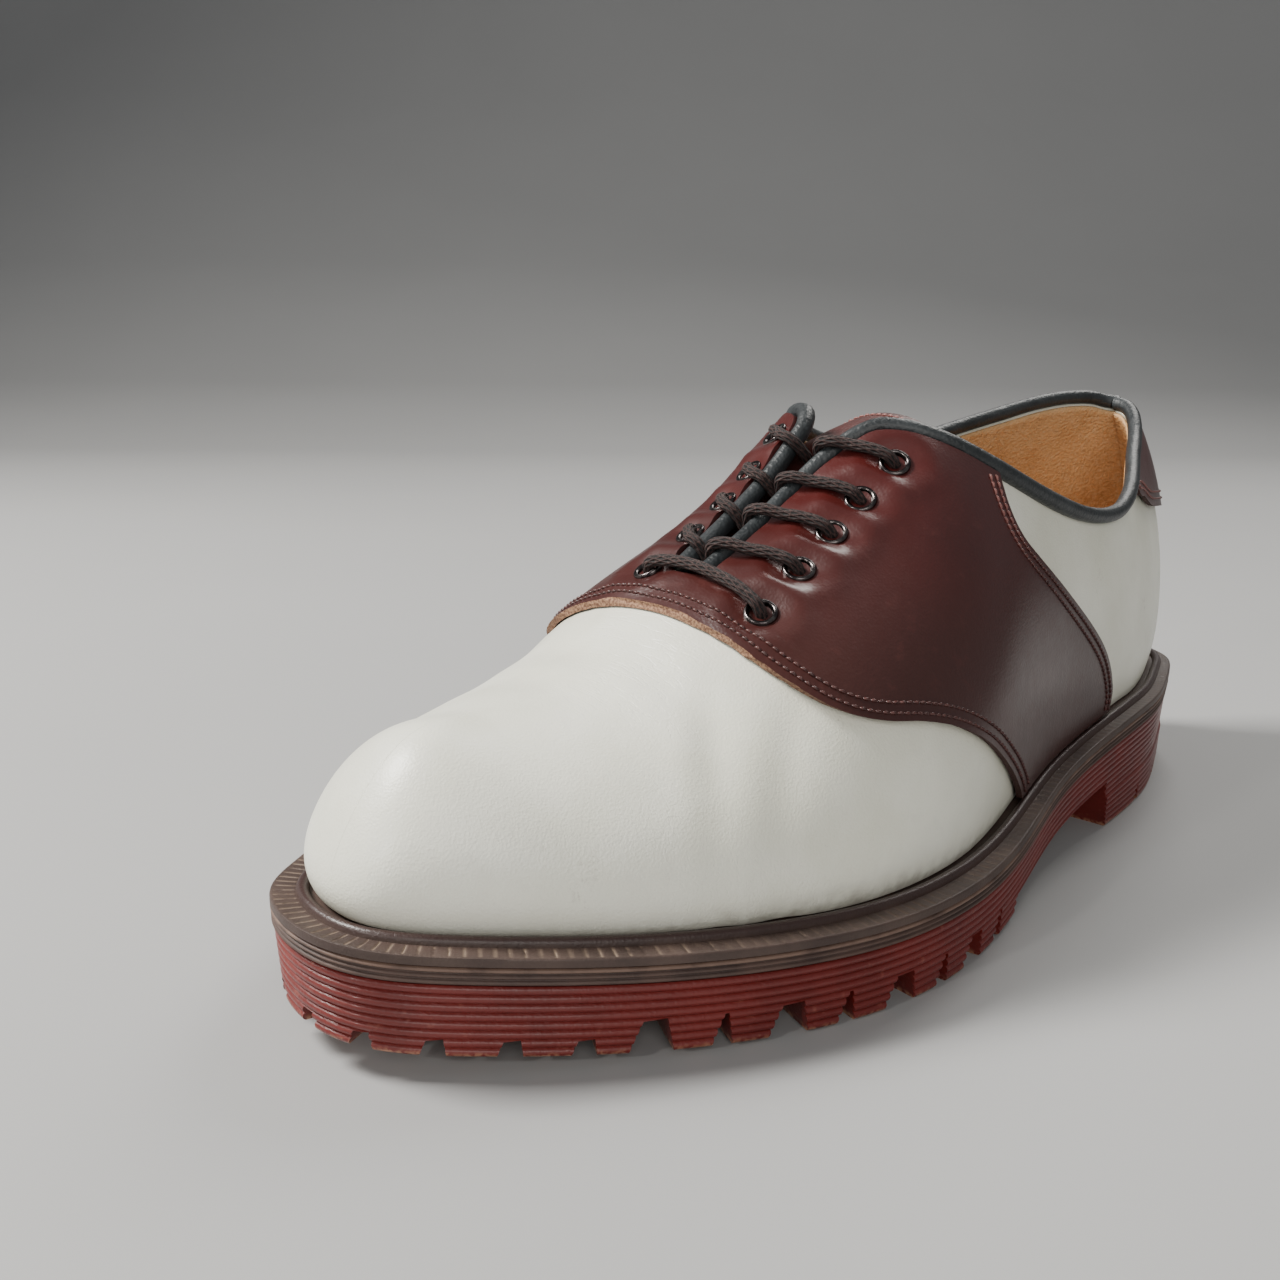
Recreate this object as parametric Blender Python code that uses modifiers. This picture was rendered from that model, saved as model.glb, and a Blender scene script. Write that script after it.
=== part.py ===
"""A saddle shoe for the left foot, standing on its sole.

The toe points along -Y, the outer side of the foot is +X and +Z is up. The origin is the centre of
the shoe's footprint, on the floor. All sizes are in metres.
"""

import math

import bmesh
import bpy
import numpy as np
from mathutils import Matrix, Vector

# The sizes that set the last and the sole.
sole_length = 0.305
ball_width = 0.1155
forefoot_height = 0.0194
heel_lift = 0.0096
toe_spring = 0.0063
instep_height = 0.130
gap = 0.0003
foot_gap = 0.0004

# The sole's plan, seen from above, from the heel's back to the toe's tip.
PLAN = [
    # share of the length, then the outer and inner half as shares of the ball width
    (0.000, 0.000, 0.000),
    (0.030, 0.145, 0.148),
    (0.090, 0.226, 0.243),
    (0.180, 0.311, 0.303),
    (0.300, 0.366, 0.312),
    (0.420, 0.409, 0.320),
    (0.540, 0.494, 0.372),
    (0.660, 0.536, 0.450),
    (0.760, 0.485, 0.475),
    (0.860, 0.364, 0.432),
    (0.940, 0.226, 0.292),
    (0.985, 0.119, 0.168),
    (1.000, 0.000, 0.000),
]
steps_between_points = 2
fine_steps = 16

# The layers of the sole, from the top down, and how far the sole's foot draws in.
welt_thickness = 0.0017
midsole_thickness = 0.0033
midsole_ribs = 2
shank_thickness = 0.0148
sole_taper = 0.0016
rib_pitch = 0.00165
rib_depth = 0.0005

# The welt stands out past the foot of the upper and has a raised bead beside it.
welt_reach = 0.0085
WELT_REACH = [
    # share of the length, share of the welt's full reach
    (0.00, 0.80),
    (0.20, 0.85),
    (0.45, 0.85),
    (0.65, 1.00),
    (1.00, 1.05),
]
bead_width = 0.0025
bead_height = 0.0016
bead_clearance = 0.0017
welt_tuck = 0.0050

# The lugs under the forefoot and the heel.
lug_start = 0.533
heel_breast = 0.297
breast_slope = 0.35
breast_spare = 0.004
lug_slope = 0.0025
heel_ribs = 6
block_lap = 0.0004
block_inset = 0.0002
notch_pitch = 0.0131
notch_reach = 0.0125
notch_margin = 0.032
notch_depth = 0.0066
toe_notch_depth = 0.0032
toe_notches_from = 0.87
heel_notch_depth = 0.0045
wide_notch = (0.0110, 0.0045)
narrow_notch = (0.0064, 0.0008)
toe_notch = (0.0070, 0.0030)
notch_lean = 0.0013
HEEL_NOTCHES = (0.215, 0.135, 0.060)
under_floor = 0.004
tread_rim = 0.0170
tread_depth = 0.0035
TREAD_POCKETS = [
    # where each pocket in the tread starts and ends, as shares of the length
    (0.050, 0.130),
    (0.160, 0.250),
    (0.592, 0.642),
    (0.680, 0.735),
    (0.765, 0.825),
    (0.855, 0.915),
]

# The last, from the heel's back to the toe's tip.
LAST = [
    # share of the length, crest height as a share of the instep height, crest offset as a share of the
    # ball width, outer and inner fullness, and bulge as a share of the ball width
    (0.00, 0.895, 0.000, 1.81, 1.92, 0.029),
    (0.15, 0.912, 0.000, 1.73, 1.82, 0.029),
    (0.30, 0.975, -0.006, 2.20, 2.20, 0.026),
    (0.42, 0.965, 0.004, 2.17, 2.17, 0.023),
    (0.52, 0.875, 0.010, 2.10, 2.15, 0.020),
    (0.60, 0.713, 0.009, 2.05, 2.22, 0.024),
    (0.70, 0.578, 0.010, 2.00, 2.28, 0.029),
    (0.78, 0.470, 0.000, 2.05, 2.19, 0.029),
    (0.87, 0.436, -0.010, 2.10, 2.08, 0.029),
    (0.94, 0.440, -0.020, 2.20, 2.20, 0.029),
    (1.00, 0.343, -0.020, 2.30, 2.32, 0.029),
]
end_pull = 0.205
wall = 0.0022
turn_step = 0.005
climb_step = math.radians(1.8)
top_climb = math.radians(90)
crest_blend = math.radians(10)

# The edge of the opening, along the middle of its piping. Heights are shares of the instep height.
TOPLINE = [
    # share of the length, outer height, inner height
    (0.040, 0.826, 0.826),
    (0.074, 0.822, 0.823),
    (0.090, 0.795, 0.833),
    (0.113, 0.757, 0.835),
    (0.156, 0.712, 0.824),
    (0.198, 0.677, 0.800),
    (0.234, 0.652, 0.780),
    (0.270, 0.634, 0.762),
    (0.316, 0.633, 0.745),
    (0.350, 0.645, 0.740),
    (0.396, 0.675, 0.745),
    (0.445, 0.718, 0.765),
    (0.486, 0.761, 0.790),
    (0.517, 0.800, 0.818),
    (0.534, 0.819, 0.836),
    (0.550, 0.832, 0.846),
]
# Half the gap between the two facings, along the middle of their piping, as shares of the ball width.
FACING_GAP = [
    # share of the length, outer half, inner half
    (0.535, 0.125, 0.070),
    (0.550, 0.096, 0.036),
    (0.570, 0.064, 0.030),
    (0.600, 0.038, 0.032),
    (0.650, 0.034, 0.028),
    (0.690, 0.030, 0.020),
]
throat = 0.640
corner_softness = math.radians(3)
facing_corner = (0.484, 0.560)
end_closeness = 1.4
rib_points = 9
heel_steps = 13
corner_steps = 6
facing_steps = 4
toe_steps = 11
piping_radius = 0.0017
piping_lift = 0.0006
piping_margin = piping_radius + 2 * gap

# The saddle crosses the instep. Its outline is drawn on the shoe's side, from the welt up its front
# edge, over the top and down its rear edge.
saddle_thickness = 0.0015
SADDLE = [
    # share of the length, share of the instep height
    (0.440, 0.000),
    (0.472, 0.000),
    (0.486, 0.172),
    (0.510, 0.228),
    (0.540, 0.282),
    (0.574, 0.338),
    (0.609, 0.379),
    (0.646, 0.403),
    (0.672, 0.413),
    (0.692, 0.425),
    (0.709, 0.446),
    (0.720, 0.476),
    (0.727, 0.512),
    (0.730, 0.560),
    (0.731, 0.640),
    (0.600, 1.100),
    (0.470, 1.100),
    (0.477, 0.745),
    (0.480, 0.690),
    (0.472, 0.640),
    (0.452, 0.598),
    (0.405, 0.522),
    (0.352, 0.435),
    (0.318, 0.368),
    (0.297, 0.305),
    (0.289, 0.255),
    (0.297, 0.000),
    (0.330, 0.000),
    (0.365, 0.000),
    (0.400, 0.000),
]

# The heel tab hangs from the opening's edge at the back, drawn the same way.
tab_thickness = 0.0014
TAB = [
    # share of the length, share of the instep height
    (-0.050, 0.590),
    (0.030, 0.590),
    (0.090, 0.600),
    (0.135, 0.612),
    (0.170, 0.640),
    (0.200, 0.668),
    (0.235, 0.860),
    (0.235, 1.100),
    (-0.050, 1.100),
]
overlay_lap = 0.0004
overlay_seat = bead_height + gap

tongue_thickness = 0.0026
tongue_half_width = 0.023
tongue_front = 0.668
tongue_back = 0.540
tongue_rise = 0.0062
tongue_overhang = 0.0240
tongue_shift = 0.0045
tongue_rows = 7
tongue_points = 5
TONGUE_TOP = [
    # shares of the overhang and of the rise
    (0.5, 0.6),
    (1.0, 1.0),
]

insole_thickness = 0.0030
insole_clearance = 0.0012

# Five pairs of ring eyelets and the lace over them.
EYELETS = [
    # share of the way round from heel to toe, then how far the outer and the inner eyelet are from
    # the middle of the instep, as shares of the ball width
    (0.642, 0.192, 0.092),
    (0.610, 0.183, 0.088),
    (0.583, 0.178, 0.092),
    (0.561, 0.179, 0.098),
    (0.539, 0.191, 0.106),
]
eyelet_radius = 0.0035
eyelet_wire = 0.0009
lace_radius = 0.0014
lace_lift = 0.0043
lace_stop = 0.0058
lace_slant = 0.45
lace_past = 0.42
strand_step = 0.3

# Colours as linear red, green and blue.
OXBLOOD = (0.070, 0.012, 0.012, 1)
WHITE = (0.62, 0.60, 0.54, 1)
SLATE = (0.030, 0.032, 0.036, 1)
RUBBER = (0.150, 0.032, 0.024, 1)
BROWN = (0.060, 0.035, 0.028, 1)
TAN = (0.42, 0.20, 0.07, 1)
LACE = (0.035, 0.016, 0.013, 1)
GUNMETAL = (0.10, 0.10, 0.11, 1)


def smooth(table, column, at):
    """Read one column of a table at a place along its first column, on a smooth curve."""
    knots = np.array([row[0] for row in table])
    values = np.array([row[column] for row in table])
    slopes = np.gradient(values, knots)
    at = np.clip(at, knots[0], knots[-1])
    left = np.clip(np.searchsorted(knots, at, side="right") - 1, 0, len(knots) - 2)
    width = knots[left + 1] - knots[left]
    t = (at - knots[left]) / width
    return (
        (2 * t**3 - 3 * t**2 + 1) * values[left]
        + (t**3 - 2 * t**2 + t) * width * slopes[left]
        + (3 * t**2 - 2 * t**3) * values[left + 1]
        + (t**3 - t**2) * width * slopes[left + 1]
    )


def share_at(y):
    return 0.5 - y / sole_length


def welt_top(y):
    """Height of the sole's upper face, which springs at the toe and climbs to the heel."""
    share = share_at(y)
    toe = np.clip((share - 0.69) / 0.31, 0, None)
    climb = np.clip((0.62 - share) / 0.40, 0, 1)
    return forefoot_height + toe_spring * toe**2 + heel_lift * climb**2 * (3 - 2 * climb)


def closed_curve(points, steps):
    """Places and outward normals on a smooth closed curve, with steps of it between each two points."""
    points = np.array(points)
    count = len(points)
    chords = np.sqrt(np.linalg.norm(np.roll(points, -1, 0) - points, axis=1))
    system = np.zeros((count, count))
    right = np.zeros((count, 2))
    for i in range(count):
        after = (i + 1) % count
        system[i, i - 1] += chords[i - 1]
        system[i, i] += 2 * (chords[i - 1] + chords[i])
        system[i, after] += chords[i]
        ahead = (points[after] - points[i]) / chords[i]
        behind = (points[i] - points[i - 1]) / chords[i - 1]
        right[i] = 6 * (ahead - behind)
    bend = np.linalg.solve(system, right)
    places = []
    tangents = []
    for i in range(count):
        after = (i + 1) % count
        h = chords[i]
        for t in np.arange(steps) / steps:
            a = (1 - t) * h
            b = t * h
            start = points[i] / h - bend[i] * h / 6
            end = points[after] / h - bend[after] * h / 6
            places.append((bend[i] * a**3 + bend[after] * b**3) / (6 * h) + start * a + end * b)
            tangents.append((bend[after] * b**2 - bend[i] * a**2) / (2 * h) - start + end)
    places = np.array(places)
    tangents = np.array(tangents)
    tangents /= np.linalg.norm(tangents, axis=1)[:, None]
    return places, np.stack([-tangents[:, 1], tangents[:, 0]], axis=1)


def plan_points():
    outer = [(ball_width * out, sole_length * (0.5 - share)) for share, out, _ in PLAN]
    inner = [(-ball_width * side, sole_length * (0.5 - share)) for share, _, side in PLAN[1:-1]]
    return outer + inner[::-1]


def sole_edge(steps):
    """The sole's edge and its outward normals."""
    places, outward = closed_curve(plan_points(), steps)
    if (outward * places).sum() < 0:
        outward = -outward
    return places, outward


EDGE, OUTWARD = sole_edge(steps_between_points)
FINE_EDGE, FINE_OUTWARD = sole_edge(fine_steps)
CENTRE = (FINE_EDGE[:, 0].max() + FINE_EDGE[:, 0].min()) / 2


def ring(inset, drop):
    """Points round the sole, set in from its edge and down from the welt's top."""
    inset = np.broadcast_to(inset, len(EDGE))
    places = EDGE - OUTWARD * inset[:, None]
    return np.column_stack([places, welt_top(places[:, 1]) - drop])


def reach_at(y):
    return welt_reach * smooth(WELT_REACH, 1, share_at(y))


def foot_side(inner):
    """The line where the upper meets the welt, on one side, from heel to toe."""
    line = FINE_EDGE - FINE_OUTWARD * reach_at(FINE_EDGE[:, 1])[:, None]
    heel = line[:, 1].argmax()
    line = np.roll(line, -heel, 0)
    toe = line[:, 1].argmin()
    if inner:
        return np.vstack([line[:1], line[toe:][::-1]])
    return line[: toe + 1]


FOOT = {1: foot_side(False), -1: foot_side(True)}
FOOT_BACK = FOOT[1][0, 1]
FOOT_FRONT = FOOT[1][-1, 1]
FOOT_MIDDLE = (FOOT_BACK + FOOT_FRONT) / 2
FOOT_HALF = (FOOT_BACK - FOOT_FRONT) / 2


def foot_edge(side, turn):
    """A place on the upper's foot: turn runs from 0 at the heel to 1 at the toe, on the side asked for."""
    y = FOOT_MIDDLE + FOOT_HALF * np.cos(math.pi * turn)
    return np.interp(-y, -FOOT[side][:, 1], FOOT[side][:, 0]), y


def last_surface(side, turn, climb):
    """A place on the last. Climb is an angle: 0 at the welt and a quarter turn at the crest."""
    x0, y0 = foot_edge(side, turn)
    far = (y0 - FOOT_MIDDLE) / FOOT_HALF
    y1 = FOOT_MIDDLE + FOOT_HALF * far * (1 - end_pull * far**2)
    x1 = ball_width * smooth(LAST, 2, share_at(y1))
    share = share_at(y0)
    fullness = smooth(LAST, 3 if side > 0 else 4, share)
    c = np.maximum(np.cos(climb), 1e-9)
    s = np.sin(climb)
    r = (c**fullness + s**fullness) ** (-1 / fullness)
    across = 1 - r * c
    up = r * s
    # The bulge pushes the wall out, square to the foot's line.
    before = np.array(foot_edge(side, np.maximum(turn - turn_step, 0)))
    after = np.array(foot_edge(side, np.minimum(turn + turn_step, 1)))
    tangent = after - before
    tangent = tangent / np.maximum(np.sqrt((tangent**2).sum(0)), 1e-9)
    bulge = ball_width * smooth(LAST, 5, share) * np.sin(math.pi * up**0.75)
    ends = np.abs(np.cos(math.pi * turn)) > 0.99999
    out_x = np.where(ends, 0, -tangent[1] * side)
    out_y = np.where(ends, np.sign(far), tangent[0] * side)
    x = x0 + (x1 - x0) * across + out_x * bulge
    y = y0 + (y1 - y0) * across + out_y * bulge
    crest = instep_height * smooth(LAST, 1, share_at(y))
    z0 = welt_top(y0) + foot_gap
    z = z0 + (crest - z0) * up
    return np.stack(np.broadcast_arrays(x, y, z), axis=-1)


def lifted(side, turn, climb, lift):
    """A place a given distance outside the last, along its normal."""
    turn = np.asarray(turn, float)
    climb = np.asarray(climb, float)
    place = last_surface(side, turn, climb)
    low_turn = np.clip(turn - 2 * turn_step, turn_step, 1 - turn_step)
    high_turn = np.clip(turn + 2 * turn_step, turn_step, 1 - turn_step)
    mid_turn = np.clip(turn, turn_step, 1 - turn_step)
    low_climb = np.clip(climb - climb_step, 0, top_climb - climb_step)
    high_climb = np.clip(climb + climb_step, 0, top_climb)
    mid_climb = np.clip(climb, 0, top_climb - 2 * climb_step)
    along = last_surface(side, high_turn, mid_climb) - last_surface(side, low_turn, mid_climb)
    upward = last_surface(side, mid_turn, high_climb) - last_surface(side, mid_turn, low_climb)
    normal = np.cross(upward, along) * side
    normal = normal / np.linalg.norm(normal, axis=-1)[..., None]
    # On the crest and at the two ends the sides meet, so their normals are made level across it.
    flat = np.clip(1 - (top_climb - climb) / crest_blend, 0, 1)[..., None]
    level = normal * np.array([0.0, 1.0, 1.0])
    level = level / np.linalg.norm(level, axis=-1)[..., None]
    ends = (np.abs(turn - 0.5) > 0.4999)[..., None]
    normal = np.where(ends, level, normal * (1 - flat) + level * flat)
    return place + lift * normal / np.linalg.norm(normal, axis=-1)[..., None]


CLIMBS = np.linspace(math.radians(4), top_climb, 173)


def opening_climb(side, turn):
    """How far up a rib the opening's edge is, along the middle of its piping."""
    rib = last_surface(side, np.full(len(CLIMBS), turn), CLIMBS)
    share = share_at(rib[:, 1])
    over = rib[:, 2] - instep_height * smooth(TOPLINE, 1 if side > 0 else 2, share)
    over[share > TOPLINE[-1][0]] = -1
    crest = ball_width * smooth(LAST, 2, share)
    half_gap = ball_width * smooth(FACING_GAP, 1 if side > 0 else 2, share)
    inside = half_gap - np.abs(rib[:, 0] - crest)
    inside[share < FACING_GAP[0][0] - 0.02] = -1
    limits = []
    for past in (over, inside):
        limit = CLIMBS[-1]
        if (past > 0).any():
            k = max(int(np.argmax(past > 0)), 1)
            limit = np.interp(0, past[k - 1 : k + 1], CLIMBS[k - 1 : k + 1])
        limits.append(limit)
    low = min(limits)
    near = sum(math.exp((low - limit) / corner_softness) for limit in limits)
    return low - corner_softness * math.log(near)


def stations():
    """Places round the foot for the ribs of the upper, closer where its form turns."""
    heel = facing_corner[0] * np.linspace(0, 1, heel_steps + 1) ** end_closeness
    corner = np.linspace(facing_corner[0], facing_corner[1], corner_steps + 1)[1:]
    facing = np.linspace(facing_corner[1], throat, facing_steps + 1)[1:]
    toe = 1 - (1 - throat) * np.linspace(1, 0, toe_steps + 1)[1:] ** end_closeness
    return np.concatenate([heel, corner, facing, toe])


def edge_line(side, lift):
    """The middle of the piping, from the heel round to the throat."""
    turns = [turn for turn in stations() if turn < throat - 0.001]
    return np.array([lifted(side, turn, opening_climb(side, turn), lift) for turn in turns])


EDGE_LINE = {side: edge_line(side, 0.0) for side in (1, -1)}


def upper_climb(side, turn):
    """How far up a rib the upper reaches, clear of the piping."""
    rib = last_surface(side, np.full(len(CLIMBS), turn), CLIMBS)
    start = EDGE_LINE[side][:-1]
    run = EDGE_LINE[side][1:] - start
    away = rib[:, None] - start
    part = np.clip((away * run).sum(2) / (run * run).sum(1), 0, 1)
    distance = np.linalg.norm(away - part[..., None] * run, axis=2).min(1)
    if distance.min() > piping_margin:
        return CLIMBS[-1]
    k = int(np.argmax(distance < piping_margin))
    return np.interp(-piping_margin, -distance[k - 1 : k + 1], CLIMBS[k - 1 : k + 1])


def new_material(name, colour, roughness, metallic=0.0):
    material = bpy.data.materials.new(name)
    material.use_nodes = True
    shader = material.node_tree.nodes["Principled BSDF"]
    shader.inputs["Base Color"].default_value = colour
    shader.inputs["Roughness"].default_value = roughness
    shader.inputs["Metallic"].default_value = metallic
    material.diffuse_color = colour
    return material


def add_object(name, bm, collection, material=None):
    """Weld a bmesh, centre it on the footprint and link it as an object."""
    bmesh.ops.remove_doubles(bm, verts=bm.verts, dist=0.00002)
    mesh = bpy.data.meshes.new(name)
    bm.to_mesh(mesh)
    bm.free()
    item = bpy.data.objects.new(name, mesh)
    item.location.x = -CENTRE
    collection.objects.link(item)
    if material:
        mesh.materials.append(material)
    mesh.shade_smooth()
    mesh.set_sharp_from_angle(angle=math.radians(40))
    return item


def loft(bm, rows, closed_rows=False, closed_columns=False):
    """Skin rows of points with four-sided faces."""
    grid = [[bm.verts.new(point) for point in row] for row in rows]
    row_pairs = list(zip(grid, grid[1:]))
    if closed_rows:
        row_pairs.append((grid[-1], grid[0]))
    for lower, upper in row_pairs:
        count = len(lower)
        for i in range(count if closed_columns else count - 1):
            j = (i + 1) % count
            bm.faces.new((lower[i], lower[j], upper[j], upper[i]))
    return grid


def solid_loft(bm, rows):
    """Skin rings of points and close both ends."""
    grid = loft(bm, rows, closed_columns=True)
    bm.faces.new(grid[0][::-1])
    bm.faces.new(grid[-1])
    bmesh.ops.recalc_face_normals(bm, faces=bm.faces)


def sole_loft(bm, rows):
    """Skin rings that run round the sole, and fill both ends with strips from side to side."""
    grid = loft(bm, rows, closed_columns=True)
    for verts in (grid[0], grid[-1]):
        count = len(verts)
        for i in range(count // 2):
            corners = (verts[i], verts[i + 1], verts[count - i - 1], verts[-i])
            bm.faces.new(list(dict.fromkeys(corners)))
    bmesh.ops.recalc_face_normals(bm, faces=bm.faces)


def thicken(item, thickness, offset):
    shell = item.modifiers.new("wall", "SOLIDIFY")
    shell.thickness = thickness
    shell.offset = offset
    shell.use_even_offset = True
    return item


def cut(item, cutter, operation="DIFFERENCE"):
    change = item.modifiers.new("cut", "BOOLEAN")
    change.operation = operation
    change.object = cutter
    change.solver = "EXACT"
    cutter.hide_render = True
    cutter.display_type = "WIRE"


def round_the_foot(lateral, medial):
    """Put ribs of both sides in one ring, from the heel over the outer side to the toe and back."""
    return lateral + medial[1:-1][::-1]


def upper_form(name, lift, collection, material):
    """The upper's outer form as an open sheet, a given distance outside the last."""
    ribs = {1: [], -1: []}
    steps = np.linspace(0, 1, rib_points)
    for side in (1, -1):
        for turn in stations():
            top = upper_climb(side, turn)
            ribs[side].append(lifted(side, np.full(len(steps), turn), steps * top, lift))
    bm = bmesh.new()
    loft(bm, round_the_foot(ribs[1], ribs[-1]), closed_rows=True)
    return add_object(name, bm, collection, material)


def build_upper(collection, material):
    return thicken(upper_form("upper", 0.0, collection, material), wall, -1)


def build_overlay(name, outline, thickness, collection, cutters, material):
    """A piece laid on the upper: the upper's own form, lifted off it and cut to an outline on its side."""
    piece = thicken(upper_form(name, gap + overlay_lap, collection, material), thickness, 1)
    bm = bmesh.new()
    side = []
    for share, height in outline:
        y = sole_length * (0.5 - share)
        side.append((y, max(instep_height * height, welt_top(y) + gap + overlay_seat)))
    solid_loft(bm, [[(x, y, z) for y, z in side] for x in (-ball_width, ball_width)])
    cut(piece, add_object(name + "_outline", bm, cutters), "INTERSECT")
    return piece


def build_tongue(collection, material):
    """The tongue follows the inside of the facings and bends back over the foot at its top."""
    lift = -(wall / 2 + piping_radius + 2 * gap)
    rows = []
    for k in range(tongue_rows):
        part = k / (tongue_rows - 1)
        turn = tongue_front + (tongue_back - tongue_front) * part
        halves = []
        for side in (1, -1):
            rib = lifted(side, np.full(len(CLIMBS), turn), CLIMBS, lift)
            reach = tongue_half_width + side * tongue_shift * part**2
            spread = np.linspace(0, reach, tongue_points)
            climbs = np.interp(-spread, -np.abs(rib[:, 0] - rib[-1, 0]), CLIMBS)
            halves.append(lifted(side, np.full(tongue_points, turn), climbs, lift))
        rows.append(np.vstack([halves[0][::-1], halves[1][1:]]))
    end = rows[-1]
    for back, up in TONGUE_TOP:
        rows.append(end + np.array([0.0, tongue_overhang * back, tongue_rise * up]))
    bm = bmesh.new()
    loft(bm, rows)
    bmesh.ops.recalc_face_normals(bm, faces=bm.faces)
    item = add_object("tongue", bm, collection, material)
    up = sum(face.normal.z for face in item.data.polygons)
    return thicken(item, tongue_thickness, -1 if up > 0 else 1)


def tube(name, points, radius, collection, material):
    curve = bpy.data.curves.new(name, "CURVE")
    curve.dimensions = "3D"
    curve.bevel_depth = radius
    curve.bevel_resolution = 2
    curve.use_fill_caps = True
    spline = curve.splines.new("POLY")
    spline.points.add(len(points) - 1)
    for point, place in zip(spline.points, points):
        point.co = (*place, 1)
    curve.materials.append(material)
    item = bpy.data.objects.new(name, curve)
    item.location.x = -CENTRE
    collection.objects.link(item)
    return item


def build_piping(collection, material):
    line = [edge_line(side, piping_lift) for side in (1, -1)]
    points = []
    for place in np.vstack([line[0][::-1], line[1][1:]]):
        if not points or np.linalg.norm(place - points[-1]) > 2 * piping_radius:
            points.append(place)
    return tube("collar_piping", points, piping_radius, collection, material)


def build_insole(collection, material):
    rows = []
    for height in (gap, gap + insole_thickness):
        rows.append(ring(reach_at(EDGE[:, 1]) + wall + insole_clearance, -height))
    bm = bmesh.new()
    sole_loft(bm, rows)
    return add_object("insole", bm, collection, material)


def build_welt(collection, material):
    reach = reach_at(EDGE[:, 1])
    bead = reach - bead_clearance - bead_width
    profile = [
        (0.0, welt_thickness),
        (0.0, 0.0),
        (bead, 0.0),
        (bead + bead_width * 0.25, -bead_height),
        (bead + bead_width * 0.75, -bead_height),
        (bead + bead_width, 0.0),
        (reach + welt_tuck, 0.0),
        (reach + welt_tuck, welt_thickness),
    ]
    bm = bmesh.new()
    loft(bm, [ring(inset, drop) for inset, drop in profile], closed_rows=True, closed_columns=True)
    bmesh.ops.recalc_face_normals(bm, faces=bm.faces)
    return add_object("welt", bm, collection, material)


def ribbed_rows(start, end, ribs):
    """Rings down the sole's side: each rib is a groove and a ridge."""
    drops = np.linspace(start, end, 2 * ribs + 1)
    return [(drop, i % 2 == 0) for i, drop in enumerate(drops)]


def build_midsole(collection, material):
    """The brown layer under the welt has two ribs, and its middle fills the welt's ring."""
    top = welt_thickness + gap
    inside = reach_at(EDGE[:, 1]) + welt_tuck + gap
    rows = [ring(inside, 0.0), ring(inside, top)]
    for drop, groove in ribbed_rows(top, top + midsole_thickness, midsole_ribs):
        rows.append(ring(rib_depth * groove, drop))
    bm = bmesh.new()
    sole_loft(bm, rows)
    return add_object("midsole", bm, collection, material)


def side_inset(drop, in_groove):
    return sole_taper * drop / forefoot_height + rib_depth * in_groove


def crossing(near, far, y):
    """Where the line from one point to another reaches a given y."""
    return near + (far - near) * (y - near[1]) / (far[1] - near[1])


def heel_block(collection):
    """The heel's block below the sole's plate, with its own ribs. Its breast is cut afterwards."""
    y = EDGE[:, 1]
    depth = welt_top(y)
    front = sole_length * (0.5 - heel_breast) - breast_slope * heel_lift - breast_spare
    order = np.roll(np.arange(len(y)), len(y) // 2)
    keep = order[y[order] > front]
    rows = []
    for k in range(2 * heel_ribs + 1):
        block = depth - forefoot_height + block_lap
        drop = depth - block * (1 - k / (2 * heel_ribs))
        inset = sole_taper * drop / depth + rib_depth * (k % 2 == 0) + block_inset * (k == 0)
        full = ring(inset, drop)
        corners = [
            crossing(full[keep[-1]], full[keep[-1] + 1], front),
            crossing(full[keep[0]], full[keep[0] - 1], front),
        ]
        ringed = np.vstack([full[keep], corners])
        rows.append(np.roll(ringed, -int(ringed[:, 1].argmax()), 0))
    bm = bmesh.new()
    sole_loft(bm, rows)
    return add_object("heel_block", bm, collection)


def shank_cutter(collection):
    """The space under the arch, between the forefoot's lugs and the heel's breast."""
    front = sole_length * (0.5 - lug_start)
    back = sole_length * (0.5 - heel_breast)
    roof = []
    for y in np.linspace(front + lug_slope, back - breast_slope * heel_lift, 8):
        roof.append((y, welt_top(y) - shank_thickness))
    outline = [(front, -under_floor), *roof, (back, -under_floor)]
    bm = bmesh.new()
    rows = [[(x, y, z) for y, z in outline] for x in (-ball_width, ball_width)]
    solid_loft(bm, rows)
    return add_object("shank_space", bm, collection)


def wedge(bm, place, outward, widths, floor, depth):
    """A notch's cutter: wide at the floor, narrower at its top, its front wall more sloping."""
    along = Vector((-outward[1], outward[0], 0))
    lean = -outward[0] * notch_lean
    outward = Vector((*outward, 0))
    made = bmesh.ops.create_cube(bm, size=2.0)["verts"]
    for vert in made:
        u, v, w = vert.co
        side = u * widths[1] / 2 if w > 0 else u * widths[0] / 2 + lean
        level = floor + depth if w > 0 else floor - under_floor
        shift = under_floor if v > 0 else -notch_reach
        vert.co = Vector((*place, level)) + along * side + outward * shift


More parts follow.
